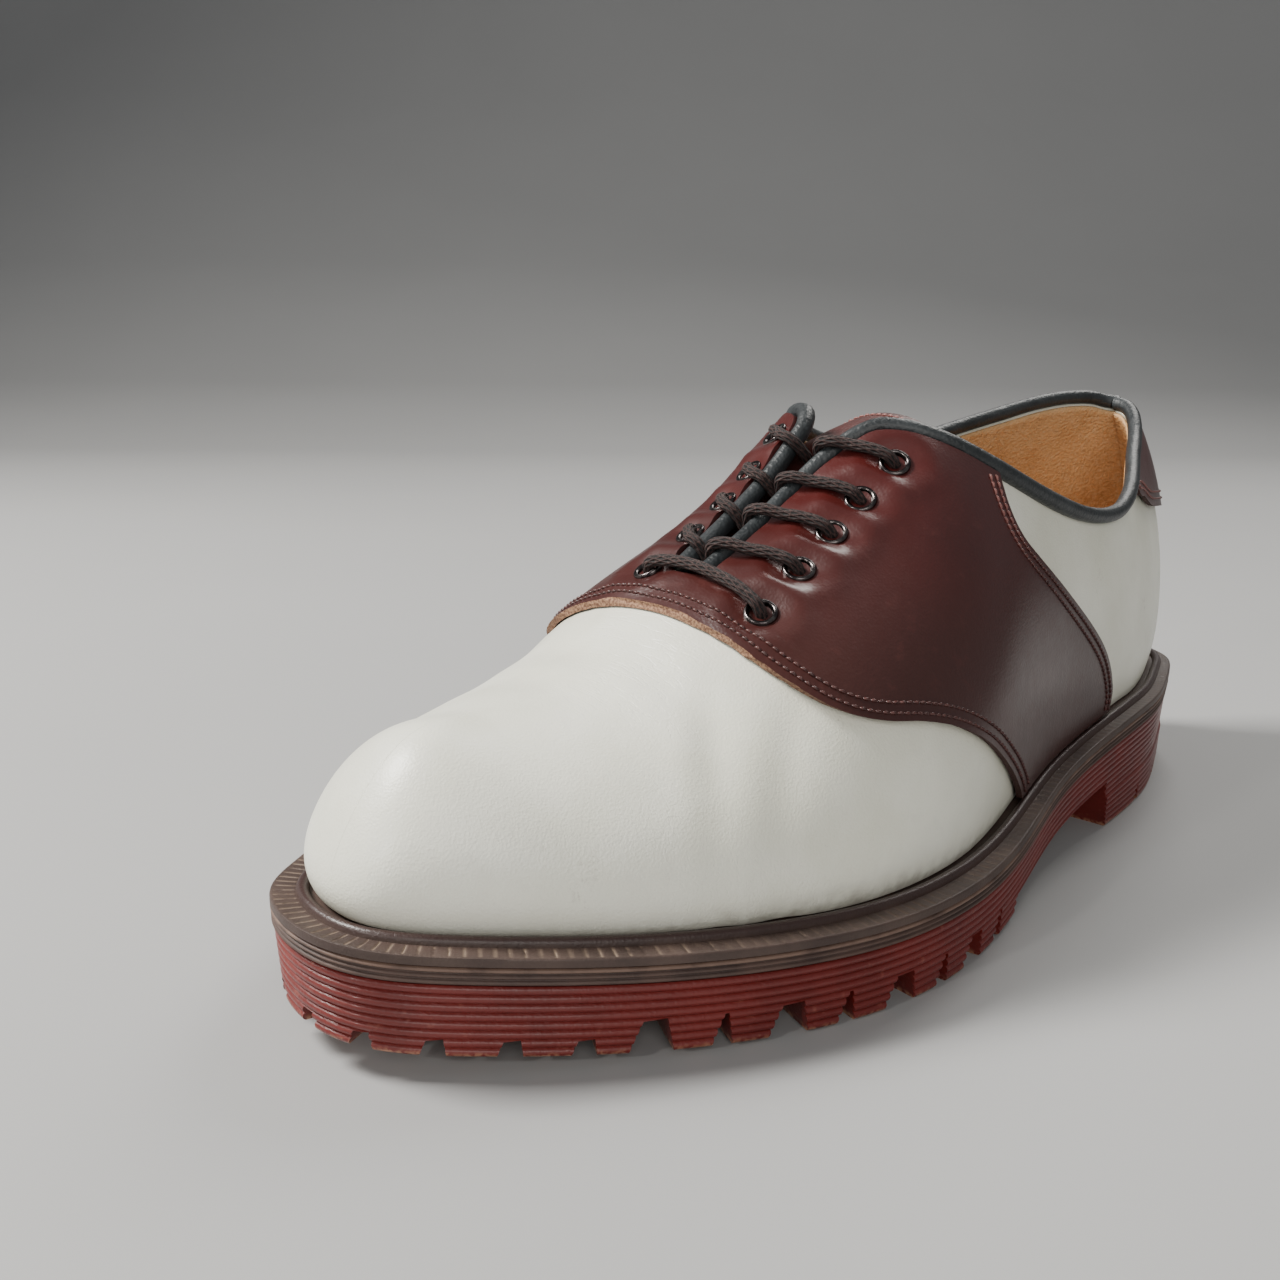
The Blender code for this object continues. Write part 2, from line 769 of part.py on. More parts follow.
def notch_cutter(collection):
    """Notches round the forefoot and the heel: wide and narrow ones take turns."""
    bm = bmesh.new()
    line = FINE_EDGE - FINE_OUTWARD * sole_taper
    steps = np.linalg.norm(np.roll(line, -1, 0) - line, axis=1)
    run = np.append(0, np.cumsum(steps))[:-1]
    share = share_at(line[:, 1])
    front = np.where(share > lug_start + notch_margin)[0]
    length = run[front[-1]] - run[front[0]]
    count = int(round(length / notch_pitch))
    for k in range(count + 1):
        i = int(np.abs(run - (run[front[0]] + length * k / count)).argmin())
        depth = notch_depth
        widths = wide_notch if k % 2 else narrow_notch
        if share[i] > toe_notches_from:
            depth = toe_notch_depth
            widths = toe_notch
        floor = max(welt_top(line[i, 1]) - forefoot_height, 0)
        wedge(bm, line[i], FINE_OUTWARD[i], widths, floor, depth)
    for heel_share in HEEL_NOTCHES:
        for side in (line[:, 0] > 0, line[:, 0] < 0):
            places = np.where(side)[0]
            i = places[int(np.abs(share[places] - heel_share).argmin())]
            wedge(bm, line[i], FINE_OUTWARD[i], narrow_notch, 0, heel_notch_depth)
    bmesh.ops.recalc_face_normals(bm, faces=bm.faces)
    return add_object("notches", bm, collection)


def tread_cutter(collection):
    """The pockets inside the ring of lugs, with bars between them."""
    bm = bmesh.new()
    inner = FINE_EDGE - FINE_OUTWARD * tread_rim
    for start, end in TREAD_POCKETS:
        shares = np.linspace(start, end, 3)
        outline = []
        for side in (1, -1):
            edge = inner[(inner[:, 0] * side) > 0]
            for share in shares[::side]:
                y = sole_length * (0.5 - share)
                near = edge[int(np.abs(edge[:, 1] - y).argmin())]
                outline.append((near[0], y))
        floor = [max(welt_top(y) - forefoot_height, 0) if start > lug_start else 0 for _, y in outline]
        rows = [
            [(x, y, -under_floor) for x, y in outline],
            [(x, y, z + tread_depth) for (x, y), z in zip(outline, floor)],
        ]
        pocket = bmesh.new()
        solid_loft(pocket, rows)
        mesh = bpy.data.meshes.new("pocket")
        pocket.to_mesh(mesh)
        pocket.free()
        bm.from_mesh(mesh)
        bpy.data.meshes.remove(mesh)
    return add_object("tread_pockets", bm, collection)


def build_outsole(collection, cutters, material):
    top = welt_thickness + midsole_thickness + 2 * gap
    ribs = round((forefoot_height - top) / rib_pitch)
    rows = []
    for drop, groove in ribbed_rows(top, forefoot_height, ribs):
        rows.append(ring(side_inset(drop, groove), drop))
    bm = bmesh.new()
    sole_loft(bm, rows)
    item = add_object("outsole", bm, collection, material)
    cut(item, heel_block(cutters), "UNION")
    cut(item, shank_cutter(cutters))
    cut(item, notch_cutter(cutters))
    cut(item, tread_cutter(cutters))
    return item


def eyelet_away(side, row):
    """How far an eyelet is from the middle of the instep."""
    return ball_width * EYELETS[row][1 if side > 0 else 2]


def eyelet_spot(side, row):
    """Turn and climb of an eyelet's middle."""
    turn = EYELETS[row][0]
    rib = last_surface(side, np.full(len(CLIMBS), turn), CLIMBS)
    distance = np.abs(rib[:, 0] - rib[-1, 0])
    return turn, np.interp(-eyelet_away(side, row), -distance, CLIMBS)


def build_eyelets(collection, material):
    for side, word in ((1, "outer"), (-1, "inner")):
        for row in range(len(EYELETS)):
            turn, climb = eyelet_spot(side, row)
            base = lifted(side, turn, climb, 0.0)
            above = lifted(side, turn, climb, 0.01)
            normal = Vector((above - base).tolist()).normalized()
            lift = saddle_thickness + overlay_lap + 3 * gap + eyelet_wire
            place = Vector(base.tolist()) + normal * lift
            bpy.ops.mesh.primitive_torus_add(
                major_radius=eyelet_radius - eyelet_wire,
                minor_radius=eyelet_wire,
                major_segments=8,
                minor_segments=4,
            )
            item = bpy.context.object
            item.name = f"eyelet_{word}_{row + 1}"
            item.data.name = item.name
            turned = normal.to_track_quat("Z", "Y").to_matrix().to_4x4()
            item.matrix_world = Matrix.Translation(place - Vector((CENTRE, 0, 0))) @ turned
            item.data.materials.append(material)
            for owner in list(item.users_collection):
                owner.objects.unlink(item)
            collection.objects.link(item)


def over_the_instep(side, start, end, bend=0.0, count=7):
    """A lace's way over the instep, between two spots given as turn and distance from the middle."""
    points = []
    for t in np.linspace(0, 1, count):
        turn = start[0] + (end[0] - start[0]) * t
        away = start[1] + (end[1] - start[1]) * t
        half = side if away > 0 else -side
        rib = lifted(half, np.full(len(CLIMBS), turn), CLIMBS, lace_lift)
        middle = rib[-1, 0]
        climb = np.interp(-abs(away), -np.abs(rib[:, 0] - middle), CLIMBS)
        place = lifted(half, turn, climb, lace_lift)
        edge = lifted(half, turn, min(opening_climb(half, turn), CLIMBS[-1]), lace_lift)
        place[2] = min(place[2], edge[2])
        place[2] += bend * math.sin(math.pi * t)
        points.append(place)
    return points


def joined_mesh(item, collection, name):
    """Turn a curve object into a welded mesh object."""
    graph = bpy.context.evaluated_depsgraph_get()
    mesh = bpy.data.meshes.new_from_object(item.evaluated_get(graph))
    bm = bmesh.new()
    bm.from_mesh(mesh)
    bmesh.ops.remove_doubles(bm, verts=bm.verts, dist=0.00002)
    bm.to_mesh(mesh)
    bm.free()
    made = bpy.data.objects.new(name, mesh)
    made.matrix_world = item.matrix_world.copy()
    collection.objects.link(made)
    bpy.data.objects.remove(item)
    return made


def build_laces(collection, cutters, material):
    """A straight bar on the first row, and above it two strands that cross and are joined."""
    turn = EYELETS[0][0]
    start = eyelet_away(1, 0) - lace_stop
    end = eyelet_away(-1, 0) - lace_stop
    bar = over_the_instep(1, (turn, start), (turn, -end))
    tube("lace_bar", bar, lace_radius, collection, material)
    for row in range(1, len(EYELETS)):
        turn = EYELETS[row][0]
        forward = (EYELETS[row - 1][0] - turn) * lace_slant
        strands = []
        for side in (1, -1):
            start = eyelet_away(side, row) - lace_stop
            end = (eyelet_away(-side, row) - lace_stop) * lace_past
            bend = lace_radius * strand_step * (side > 0)
            way = over_the_instep(side, (turn, start), (turn + forward, -end), bend)
            strands.append(tube("strand", way, lace_radius, cutters, material))
        bpy.context.view_layer.update()
        first = joined_mesh(strands[0], collection, f"lace_crossing_{row + 1}")
        second = joined_mesh(strands[1], cutters, f"lace_strand_{row + 1}")
        cut(first, second, "UNION")


def main():
    for item in list(bpy.data.objects):
        bpy.data.objects.remove(item)
    shoe = bpy.data.collections.new("saddle_shoe")
    cutters = bpy.data.collections.new("cutters")
    bpy.context.scene.collection.children.link(shoe)
    bpy.context.scene.collection.children.link(cutters)
    rubber = new_material("red_rubber", RUBBER, 0.55)
    brown = new_material("welt_leather", BROWN, 0.5)
    oxblood = new_material("oxblood_leather", OXBLOOD, 0.25)
    build_outsole(shoe, cutters, rubber)
    build_midsole(shoe, new_material("brown_rubber", BROWN, 0.6))
    build_welt(shoe, brown)
    build_insole(shoe, new_material("insole_leather", TAN, 0.6))
    build_upper(shoe, new_material("white_leather", WHITE, 0.35))
    build_overlay("saddle", SADDLE, saddle_thickness, shoe, cutters, oxblood)
    build_overlay("heel_tab", TAB, tab_thickness, shoe, cutters, oxblood)
    build_tongue(shoe, oxblood)
    build_piping(shoe, new_material("slate_piping", SLATE, 0.4))
    build_eyelets(shoe, new_material("gunmetal", GUNMETAL, 0.3, 1.0))
    build_laces(shoe, cutters, new_material("lace_cotton", LACE, 0.8))


main()
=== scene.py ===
"""The looks of a saddle shoe for the left foot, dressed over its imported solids.

The toe points along -Y, the outer side of the foot is +X and +Z is up, in metres. The pieces follow
one another as the shoe is made: sole, welt, upper, saddle, heel tab, piping, tongue, eyelets, laces.
"""

import math

import bmesh
import bpy
import numpy as np
from mathutils import Matrix, Vector
from mathutils.bvhtree import BVHTree
from mathutils.noise import noise


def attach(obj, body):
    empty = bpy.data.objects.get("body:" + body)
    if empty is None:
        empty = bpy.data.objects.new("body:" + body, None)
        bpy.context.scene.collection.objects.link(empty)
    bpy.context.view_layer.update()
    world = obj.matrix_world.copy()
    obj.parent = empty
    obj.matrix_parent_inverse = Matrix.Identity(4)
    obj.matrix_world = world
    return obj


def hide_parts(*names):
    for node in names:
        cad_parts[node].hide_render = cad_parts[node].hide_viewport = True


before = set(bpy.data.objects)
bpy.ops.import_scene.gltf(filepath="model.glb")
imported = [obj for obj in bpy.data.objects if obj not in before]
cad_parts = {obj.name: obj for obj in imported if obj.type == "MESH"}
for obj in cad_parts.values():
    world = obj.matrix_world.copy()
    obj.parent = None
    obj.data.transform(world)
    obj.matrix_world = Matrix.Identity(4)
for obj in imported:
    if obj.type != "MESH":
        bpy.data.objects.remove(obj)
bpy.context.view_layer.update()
scene = bpy.context.scene


# The outsole is one moulding of red rubber: a ribbed side wall, notched lugs round the forefoot and a
# heel block. Its ribs run parallel to the welt, and the heel's ribs go on below them.
sole_length = 0.305
ball_width = 0.1155
forefoot_height = 0.0194
heel_lift = 0.0096
toe_spring = 0.0063
toe_spring_from = 0.69
climb_from = 0.62
climb_share = 0.40
gap = 0.0003
PLAN = [
    # share of the length, then the outer and inner half as shares of the ball width
    (0.000, 0.000, 0.000),
    (0.030, 0.145, 0.148),
    (0.090, 0.226, 0.243),
    (0.180, 0.311, 0.303),
    (0.300, 0.366, 0.312),
    (0.420, 0.409, 0.320),
    (0.540, 0.494, 0.372),
    (0.660, 0.536, 0.450),
    (0.760, 0.485, 0.475),
    (0.860, 0.364, 0.432),
    (0.940, 0.226, 0.292),
    (0.985, 0.119, 0.168),
    (1.000, 0.000, 0.000),
]
side_steps = 20
welt_thickness = 0.0017
midsole_thickness = 0.0033
shank_thickness = 0.0148
shank_steps = 24
sole_taper = 0.0016
rib_pitch = 0.00165
rib_depth = 0.00062
rib_points = 6
groove_sharpness = 1.4
lug_start = 0.533
heel_breast = 0.297
breast_slope = 0.35
breast_spare = 0.004
lug_slope = 0.0025
heel_ribs = 6
block_lap = 0.0004
block_inset = 0.0002
notch_pitch = 0.0131
notch_reach = 0.0125
notch_margin = 0.032
notch_depth = 0.0066
toe_notch_depth = 0.0032
toe_notches_from = 0.87
heel_notch_depth = 0.0045
wide_notch = (0.0110, 0.0045)
narrow_notch = (0.0064, 0.0008)
toe_notch = (0.0070, 0.0030)
notch_lean = 0.0013
HEEL_NOTCHES = (0.215, 0.135, 0.060)
under_floor = 0.004
tread_rim = 0.0170
tread_depth = 0.0035
TREAD_POCKETS = [
    # where each pocket in the tread starts and ends, as shares of the length
    (0.050, 0.130),
    (0.160, 0.250),
    (0.592, 0.642),
    (0.680, 0.735),
    (0.765, 0.825),
    (0.855, 0.915),
]


class Wire:
    """One output of a material's node. Sums of wires add Math nodes."""

    def __init__(self, tree, socket):
        self.tree = tree
        self.socket = socket

    def node(self, kind, inputs, output=0, **settings):
        """Add a node: its settings first, then the values or wires of its sockets."""
        made = self.tree.nodes.new(kind)
        for name, value in settings.items():
            setattr(made, name, value)
        for key, value in inputs.items():
            if isinstance(value, Wire):
                self.tree.links.new(value.socket, made.inputs[key])
            else:
                made.inputs[key].default_value = value
        return Wire(self.tree, made.outputs[output])

    def maths(self, operation, first, second=0.0):
        return self.node("ShaderNodeMath", {0: first, 1: second}, operation=operation)

    def __add__(self, other):
        return self.maths("ADD", self, other)

    def __sub__(self, other):
        return self.maths("SUBTRACT", self, other)

    def __rsub__(self, other):
        return self.maths("SUBTRACT", other, self)

    def __mul__(self, other):
        return self.maths("MULTIPLY", self, other)

    __radd__ = __add__
    __rmul__ = __mul__

    def ease(self, low, high):
        """Zero below low and one above high, with a soft step between them."""
        span = {"Value": self, "From Min": low, "From Max": high}
        return self.node("ShaderNodeMapRange", span, interpolation_type="SMOOTHSTEP")

    def blend(self, low, high):
        """A colour that goes from low to high with this value."""
        low, high = (shade if isinstance(shade, Wire) else (*shade, 1) for shade in (low, high))
        return self.node("ShaderNodeMix", {0: self, 6: low, 7: high}, 2, data_type="RGBA")

    def shades(self, dark, pale):
        """Two shades of a colour, mixed by soft noise."""
        return self.ease(0.3, 0.7).blend(dark, pale)

    def axis(self, index):
        """One distance of a place on the shoe: 0 across it, 1 along it and 2 up."""
        return self.node("ShaderNodeSeparateXYZ", {0: self}, index)

    def grain(self, scale, detail=3.0, roughness=0.55):
        """Soft noise in the shoe's own metres."""
        inputs = {"Vector": self, "Scale": scale, "Detail": detail, "Roughness": roughness}
        return self.node("ShaderNodeTexNoise", inputs)

    def pores(self, scale):
        """Cells, such as those of leather grain: the distance to the nearest one's middle."""
        return self.node("ShaderNodeTexVoronoi", {"Vector": self, "Scale": scale})


def new_finish(name, roughness, metallic=0.0, coat=0.0, coat_roughness=0.1):
    """A material, its shader and a wire with the place on the shoe in metres."""
    material = bpy.data.materials.new(name)
    material.use_nodes = True
    tree = material.node_tree
    shader = tree.nodes["Principled BSDF"]
    shader.inputs["Roughness"].default_value = roughness
    shader.inputs["Metallic"].default_value = metallic
    shader.inputs["Coat Weight"].default_value = coat
    shader.inputs["Coat Roughness"].default_value = coat_roughness
    place = Wire(tree, tree.nodes.new("ShaderNodeTexCoord").outputs["Object"])
    return material, shader, place


def feed(wire, shader, socket):
    wire.tree.links.new(wire.socket, shader.inputs[socket])


def emboss(height, shader, distance, strength=1.0):
    bump = height.node("ShaderNodeBump", {"Strength": strength, "Distance": distance, "Height": height})
    feed(bump, shader, "Normal")


def marked(place, name):
    """A value stored at each point of the mesh under this name."""
    return place.node("ShaderNodeAttribute", {}, 2, attribute_name=name)


def piece_from(name, points, faces, materials, marks=None, weld=0.00002):
    """A smooth mesh piece from points and faces, with values stored at its points."""
    mesh = bpy.data.meshes.new(name)
    mesh.from_pydata([tuple(point) for point in points], [], faces)
    for mark, values in (marks or {}).items():
        mesh.attributes.new(mark, "FLOAT", "POINT").data.foreach_set("value", np.ravel(values))
    bm = bmesh.new()
    bm.from_mesh(mesh)
    bmesh.ops.remove_doubles(bm, verts=bm.verts, dist=weld)
    bmesh.ops.recalc_face_normals(bm, faces=bm.faces)
    bm.to_mesh(mesh)
    bm.free()
    for material in materials:
        mesh.materials.append(material)
    mesh.shade_smooth()
    piece = bpy.data.objects.new(name, mesh)
    scene.collection.objects.link(piece)
    return piece


def grid_faces(rows, columns, round_rows=False, round_columns=False):
    """The four-sided faces of a grid of points, given row by row."""
    faces = []
    for i in range(rows if round_rows else rows - 1):
        for j in range(columns if round_columns else columns - 1):
            here, there = i * columns, (i + 1) % rows * columns
            after = (j + 1) % columns
            faces.append((here + j, here + after, there + after, there + j))
    return faces


def settle(piece):
    """Work a piece's modifiers into its mesh."""
    graph = bpy.context.evaluated_depsgraph_get()
    mesh = bpy.data.meshes.new_from_object(piece.evaluated_get(graph))
    piece.modifiers.clear()
    piece.data = mesh
    return piece


def carve(piece, cutter, operation="DIFFERENCE"):
    """Cut a piece with another, which is then thrown away. The cut faces take the cutter's finish."""
    change = piece.modifiers.new("cut", "BOOLEAN")
    change.operation = operation
    change.object = cutter
    change.solver = "EXACT"
    change.material_mode = "TRANSFER"
    settle(piece)
    bpy.data.objects.remove(cutter)
    return piece


def ring_piece(name, rows, materials, marks=None):
    """A solid from rings round the sole, closed with strips from side to side at both ends."""
    count = len(rows[0])
    points = np.vstack(rows)
    faces = grid_faces(len(rows), count, round_columns=True)
    for first in (0, (len(rows) - 1) * count):
        for i in range(count // 2):
            corners = (first + i, first + i + 1, first + count - i - 1, first + -i % count)
            faces.append(tuple(dict.fromkeys(corners)))
    return piece_from(name, points, faces, materials, marks)


def blocks(name, pairs, materials):
    """A piece of separate blocks, each between two outlines with as many corners."""
    points = []
    faces = []
    for low, high in pairs:
        first = len(points)
        count = len(low)
        points += [*low, *high]
        faces.append(tuple(range(first, first + count))[::-1])
        faces.append(tuple(range(first + count, first + 2 * count)))
        for i in range(count):
            j = (i + 1) % count
            faces.append((first + i, first + j, first + count + j, first + count + i))
    return piece_from(name, points, faces, materials)


def prism(name, outline, materials):
    """A block with an outline on the shoe's side, right through the shoe."""
    ends = [[(x, y, z) for y, z in outline] for x in (-ball_width, ball_width)]
    return blocks(name, [ends], materials)


def crisp(piece, degrees):
    """Smooth shading, with sharp edges where faces turn by more than this angle."""
    piece.data.shade_smooth()
    piece.data.set_sharp_from_angle(angle=math.radians(degrees))


def unit(ways):
    """The same directions, each with a length of one."""
    return ways / np.linalg.norm(ways, axis=-1)[..., None]


def run_along(points):
    """How far along a line each of its points is."""
    return np.append(0, np.cumsum(np.linalg.norm(np.diff(points, axis=0), axis=1)))


def dress(piece, slot, *nodes):
    """Fix a piece to the shoe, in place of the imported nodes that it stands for."""
    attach(piece, "root")
    if nodes:
        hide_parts(*nodes)
    return piece


def smooth(table, column, at):
    """Read one column of a table at a place along its first column, on a smooth curve."""
    knots = np.array([row[0] for row in table])
    values = np.array([row[column] for row in table])
    slopes = np.gradient(values, knots)
    at = np.clip(at, knots[0], knots[-1])
    left = np.clip(np.searchsorted(knots, at, side="right") - 1, 0, len(knots) - 2)
    width = knots[left + 1] - knots[left]
    t = (at - knots[left]) / width
    return (
        (2 * t**3 - 3 * t**2 + 1) * values[left]
        + (t**3 - 2 * t**2 + t) * width * slopes[left]
        + (3 * t**2 - 2 * t**3) * values[left + 1]
        + (t**3 - t**2) * width * slopes[left + 1]
    )


def share_at(y):
    return 0.5 - y / sole_length


def welt_top(y):
    """Height of the sole's upper face, which springs at the toe and climbs to the heel."""
    share = share_at(y)
    toe = np.clip((share - toe_spring_from) / (1 - toe_spring_from), 0, None)
    climb = np.clip((climb_from - share) / climb_share, 0, 1)
    return forefoot_height + toe_spring * toe**2 + heel_lift * climb**2 * (3 - 2 * climb)


def closed_curve(points, steps):
    """Places and outward normals on a smooth closed curve, with steps of it between each two points."""
    points = np.array(points)
    after = np.roll(points, -1, 0)
    chords = np.sqrt(np.linalg.norm(after - points, axis=1))[:, None]
    before = np.roll(chords, 1, 0)
    own = np.eye(len(points))
    system = 2 * (before + chords) * own + before * np.roll(own, -1, 1) + chords * np.roll(own, 1, 1)
    ahead = (after - points) / chords
    bend = np.linalg.solve(system, 6 * (ahead - np.roll(ahead, 1, 0)))
    bend_after = np.roll(bend, -1, 0)
    start = points / chords - bend * chords / 6
    end = after / chords - bend_after * chords / 6
    places = []
    tangents = []
    for t in np.arange(steps) / steps:
        a = (1 - t) * chords
        b = t * chords
        places.append((bend * a**3 + bend_after * b**3) / (6 * chords) + start * a + end * b)
        tangents.append((bend_after * b**2 - bend * a**2) / (2 * chords) - start + end)
    places = np.stack(places, axis=1).reshape(-1, 2)
    tangents = unit(np.stack(tangents, axis=1).reshape(-1, 2))
    return places, np.stack([-tangents[:, 1], tangents[:, 0]], axis=1)


def plan_points():
    outer = [(ball_width * out, sole_length * (0.5 - share)) for share, out, _ in PLAN]
    inner = [(-ball_width * side, sole_length * (0.5 - share)) for share, _, side in PLAN[1:-1]]
    return outer + inner[::-1]


def sole_edge(steps):
    """The sole's edge and its outward normals."""
    places, outward = closed_curve(plan_points(), steps)
    if (outward * places).sum() < 0:
        outward = -outward
    return places, outward


EDGE = sole_edge(side_steps)
CENTRE = (EDGE[0][:, 0].max() + EDGE[0][:, 0].min()) / 2


def ring(edge, inset, drop):
    """Points round the sole, set in from its edge and down from the welt's top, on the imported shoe."""
    places, outward = edge
    inset = np.broadcast_to(inset, len(places))
    drop = np.broadcast_to(drop, len(places))
    places = places - outward * inset[:, None] - np.array([CENTRE, 0.0])
    return np.column_stack([places, welt_top(places[:, 1]) - drop])


def rib_groove(phase):
    """How deep the side is at a place across a rib: rounded ridges with narrow grooves between."""
    return rib_depth * (1 - np.abs(np.sin(math.pi * phase))) ** groove_sharpness


def crossing(near, far, y):
    return near + (far - near) * (y - near[1]) / (far[1] - near[1])


def heel_block(material):
    """The heel below the forefoot's level, with ribs that go on from those above."""
    y = EDGE[0][:, 1]
    depth = welt_top(y)
    front = sole_length * (0.5 - heel_breast) - breast_slope * heel_lift - breast_spare
    order = np.roll(np.arange(len(y)), len(y) // 2)
    keep = order[y[order] > front]
    rows = []
    for k in range(rib_points * heel_ribs + 1):
        block = depth - forefoot_height + block_lap
        drop = depth - block * (1 - k / (rib_points * heel_ribs))
        inset = sole_taper * drop / depth + rib_groove(k / rib_points) + block_inset * (k == 0)
        full = ring(EDGE, inset, drop)
        corners = [
            crossing(full[keep[-1]], full[keep[-1] + 1], front),
            crossing(full[keep[0]], full[keep[0] - 1], front),
        ]
        ringed = np.vstack([full[keep], corners])
        rows.append(np.roll(ringed, -int(ringed[:, 1].argmax()), 0))
    return ring_piece("heel_block", rows, [material])


def shank_space(material):
    """The arched gap under the waist, between the forefoot and the heel's breast."""
    front = sole_length * (0.5 - lug_start)
    back = sole_length * (0.5 - heel_breast)
    roof = []
    for y in np.linspace(front + lug_slope, back - breast_slope * heel_lift, shank_steps):
        roof.append((y, welt_top(y) - shank_thickness))
    return prism("shank_space", [(front, -under_floor), *roof, (back, -under_floor)], [material])


def wedge(place, outward, widths, floor, depth):
    """The lower and upper end of a notch: wide at the floor, its front wall more sloping."""
    along = np.array([-outward[1], outward[0], 0.0])
    lean = -outward[0] * notch_lean
    outward = np.array([*outward, 0.0])
    corners = ((-1, -notch_reach), (1, -notch_reach), (1, under_floor), (-1, under_floor))
    ends = []
    for width, middle, level in ((widths[0], lean, floor - under_floor), (widths[1], 0, floor + depth)):
        base = np.array([place[0] - CENTRE, place[1], level])
        ends.append([base + along * (u * width / 2 + middle) + outward * v for u, v in corners])
    return ends


def notches(material):
    """Notches round the forefoot and the heel: wide and narrow ones take turns."""
    places, outward = EDGE
    line = places - outward * sole_taper
    run = run_along(line)
    share = share_at(line[:, 1])
    cuts = []
    front = np.where(share > lug_start + notch_margin)[0]
    length = run[front[-1]] - run[front[0]]
    count = int(round(length / notch_pitch))
    for k in range(count + 1):
        i = int(np.abs(run - (run[front[0]] + length * k / count)).argmin())
        depth = notch_depth
        widths = wide_notch if k % 2 else narrow_notch
        if share[i] > toe_notches_from:
            depth = toe_notch_depth
            widths = toe_notch
        floor = max(welt_top(line[i, 1]) - forefoot_height, 0)
        cuts.append(wedge(line[i], outward[i], widths, floor, depth))
    for heel_share in HEEL_NOTCHES:
        for side in (line[:, 0] > 0, line[:, 0] < 0):
            near = np.where(side)[0]
            i = near[int(np.abs(share[near] - heel_share).argmin())]
            cuts.append(wedge(line[i], outward[i], narrow_notch, 0, heel_notch_depth))
    return blocks("notches", cuts, [material])


def tread_pockets(material):
    """The pockets inside the ring of lugs, with bars between them."""
    places, outward = EDGE
    inner = places - outward * tread_rim
    pockets = []
    for start, end in TREAD_POCKETS:
        outline = []
        for side in (1, -1):
            edge = inner[(inner[:, 0] * side) > 0]
            for share in np.linspace(start, end, 3)[::side]:
                y = sole_length * (0.5 - share)
                near = edge[int(np.abs(edge[:, 1] - y).argmin())]
                outline.append((near[0] - CENTRE, y))
        roof = []
        for x, y in outline:
            floor = max(welt_top(y) - forefoot_height, 0) if start > lug_start else 0
            roof.append((x, y, floor + tread_depth))
        pockets.append(([(x, y, -under_floor) for x, y in outline], roof))
    return blocks("tread_pockets", pockets, [material])


red_rubber, shader, place = new_finish("red_rubber", 0.4, coat=0.18, coat_roughness=0.12)
mottle = place.grain(55, 4)
dust = place.grain(400, 2)
height, length = place.axis(2), place.axis(1)
toe = (0.5 - toe_spring_from - length * (1 / sole_length)) * (1 / (1 - toe_spring_from))
toe = toe.maths("MAXIMUM", toe, 0.0)
low = height - toe * toe * toe_spring
flash = (low + dust * 0.0016).ease(0.0022, 0.0008) * place.grain(900, 2).ease(0.40, 0.55)
colour = mottle.shades((0.112, 0.0080, 0.0058), (0.158, 0.0130, 0.0095))
colour = (dust.ease(0.62, 0.8) * 0.3).blend(colour, (0.36, 0.13, 0.09))
feed(flash.blend(colour, (0.36, 0.17, 0.10)), shader, "Base Color")
feed(0.32 + mottle * 0.22, shader, "Roughness")
emboss(place.grain(1500, 2) + mottle * 0.4, shader, 0.00012)

top = welt_thickness + midsole_thickness + 2 * gap
ribs = round((forefoot_height - top) / rib_pitch)
rows = []
for k in range(rib_points * ribs + 1):
    drop = top + (forefoot_height - top) * k / (rib_points * ribs)
    rows.append(ring(EDGE, sole_taper * drop / forefoot_height + rib_groove(k / rib_points), drop))
outsole = ring_piece("ribbed_outsole", rows, [red_rubber])
carve(outsole, heel_block(red_rubber), "UNION")
for cutter in (shank_space, notches, tread_pockets):
    carve(outsole, cutter(red_rubber))
crisp(outsole, 38)
dress(outsole, "red_rubber", "outsole")


# The midsole is a thin layer of brown rubber between the outsole and the welt, level with both at the
# edge. Three dark grooves run round its side, and its upper lip is worn lighter.
welt_reach = 0.0085
WELT_REACH = [
    # share of the length, share of the welt's full reach
    (0.00, 0.80),
    (0.20, 0.85),
    (0.45, 0.85),
    (0.65, 1.00),
    (1.00, 1.05),
]
welt_tuck = 0.0050
lip_inset = 0.0006


def reach_at(y):
    return welt_reach * smooth(WELT_REACH, 1, share_at(y))


brown_rubber, shader, place = new_finish("brown_rubber", 0.55)
worn = marked(place, "lip") * place.grain(140, 4).ease(0.25, 0.6)
mottle = place.grain(90, 4)
colour = mottle.shades((0.040, 0.022, 0.018), (0.075, 0.043, 0.034))
feed(worn.blend(colour, (0.170, 0.105, 0.078)), shader, "Base Color")
feed(0.45 + mottle * 0.25, shader, "Roughness")
emboss(place.grain(1800, 2), shader, 0.0001)

top = welt_thickness + gap
inside = reach_at(EDGE[0][:, 1]) + welt_tuck + gap
rows = [ring(EDGE, inside, 0.0), ring(EDGE, inside, top), ring(EDGE, lip_inset, top)]
marks = [0, 0, 1]
PROFILE = [
    # share of the layer's depth, groove in metres, how worn
    (0.06, 0.00018, 1),
    (0.12, 0.00000, 1),
    (0.22, 0.00006, 1),
    (0.28, 0.00050, 0.3),
    (0.33, 0.00070, 0),
    (0.38, 0.00050, 0),
    (0.45, 0.00014, 0.2),
    (0.53, 0.00010, 0.3),
    (0.60, 0.00040, 0),
    (0.65, 0.00070, 0),
    (0.70, 0.00040, 0),
    (0.77, 0.00012, 0.2),
    (0.87, 0.00012, 0.2),
    (0.95, 0.00040, 0),
    (1.00, 0.00070, 0),
]
for depth, groove, wear in PROFILE:
    rows.append(ring(EDGE, groove, top + midsole_thickness * depth))
    marks.append(wear)
marks = np.repeat(marks, len(EDGE[0]))
midsole = ring_piece("brown_midsole", rows, [brown_rubber], {"lip": marks})
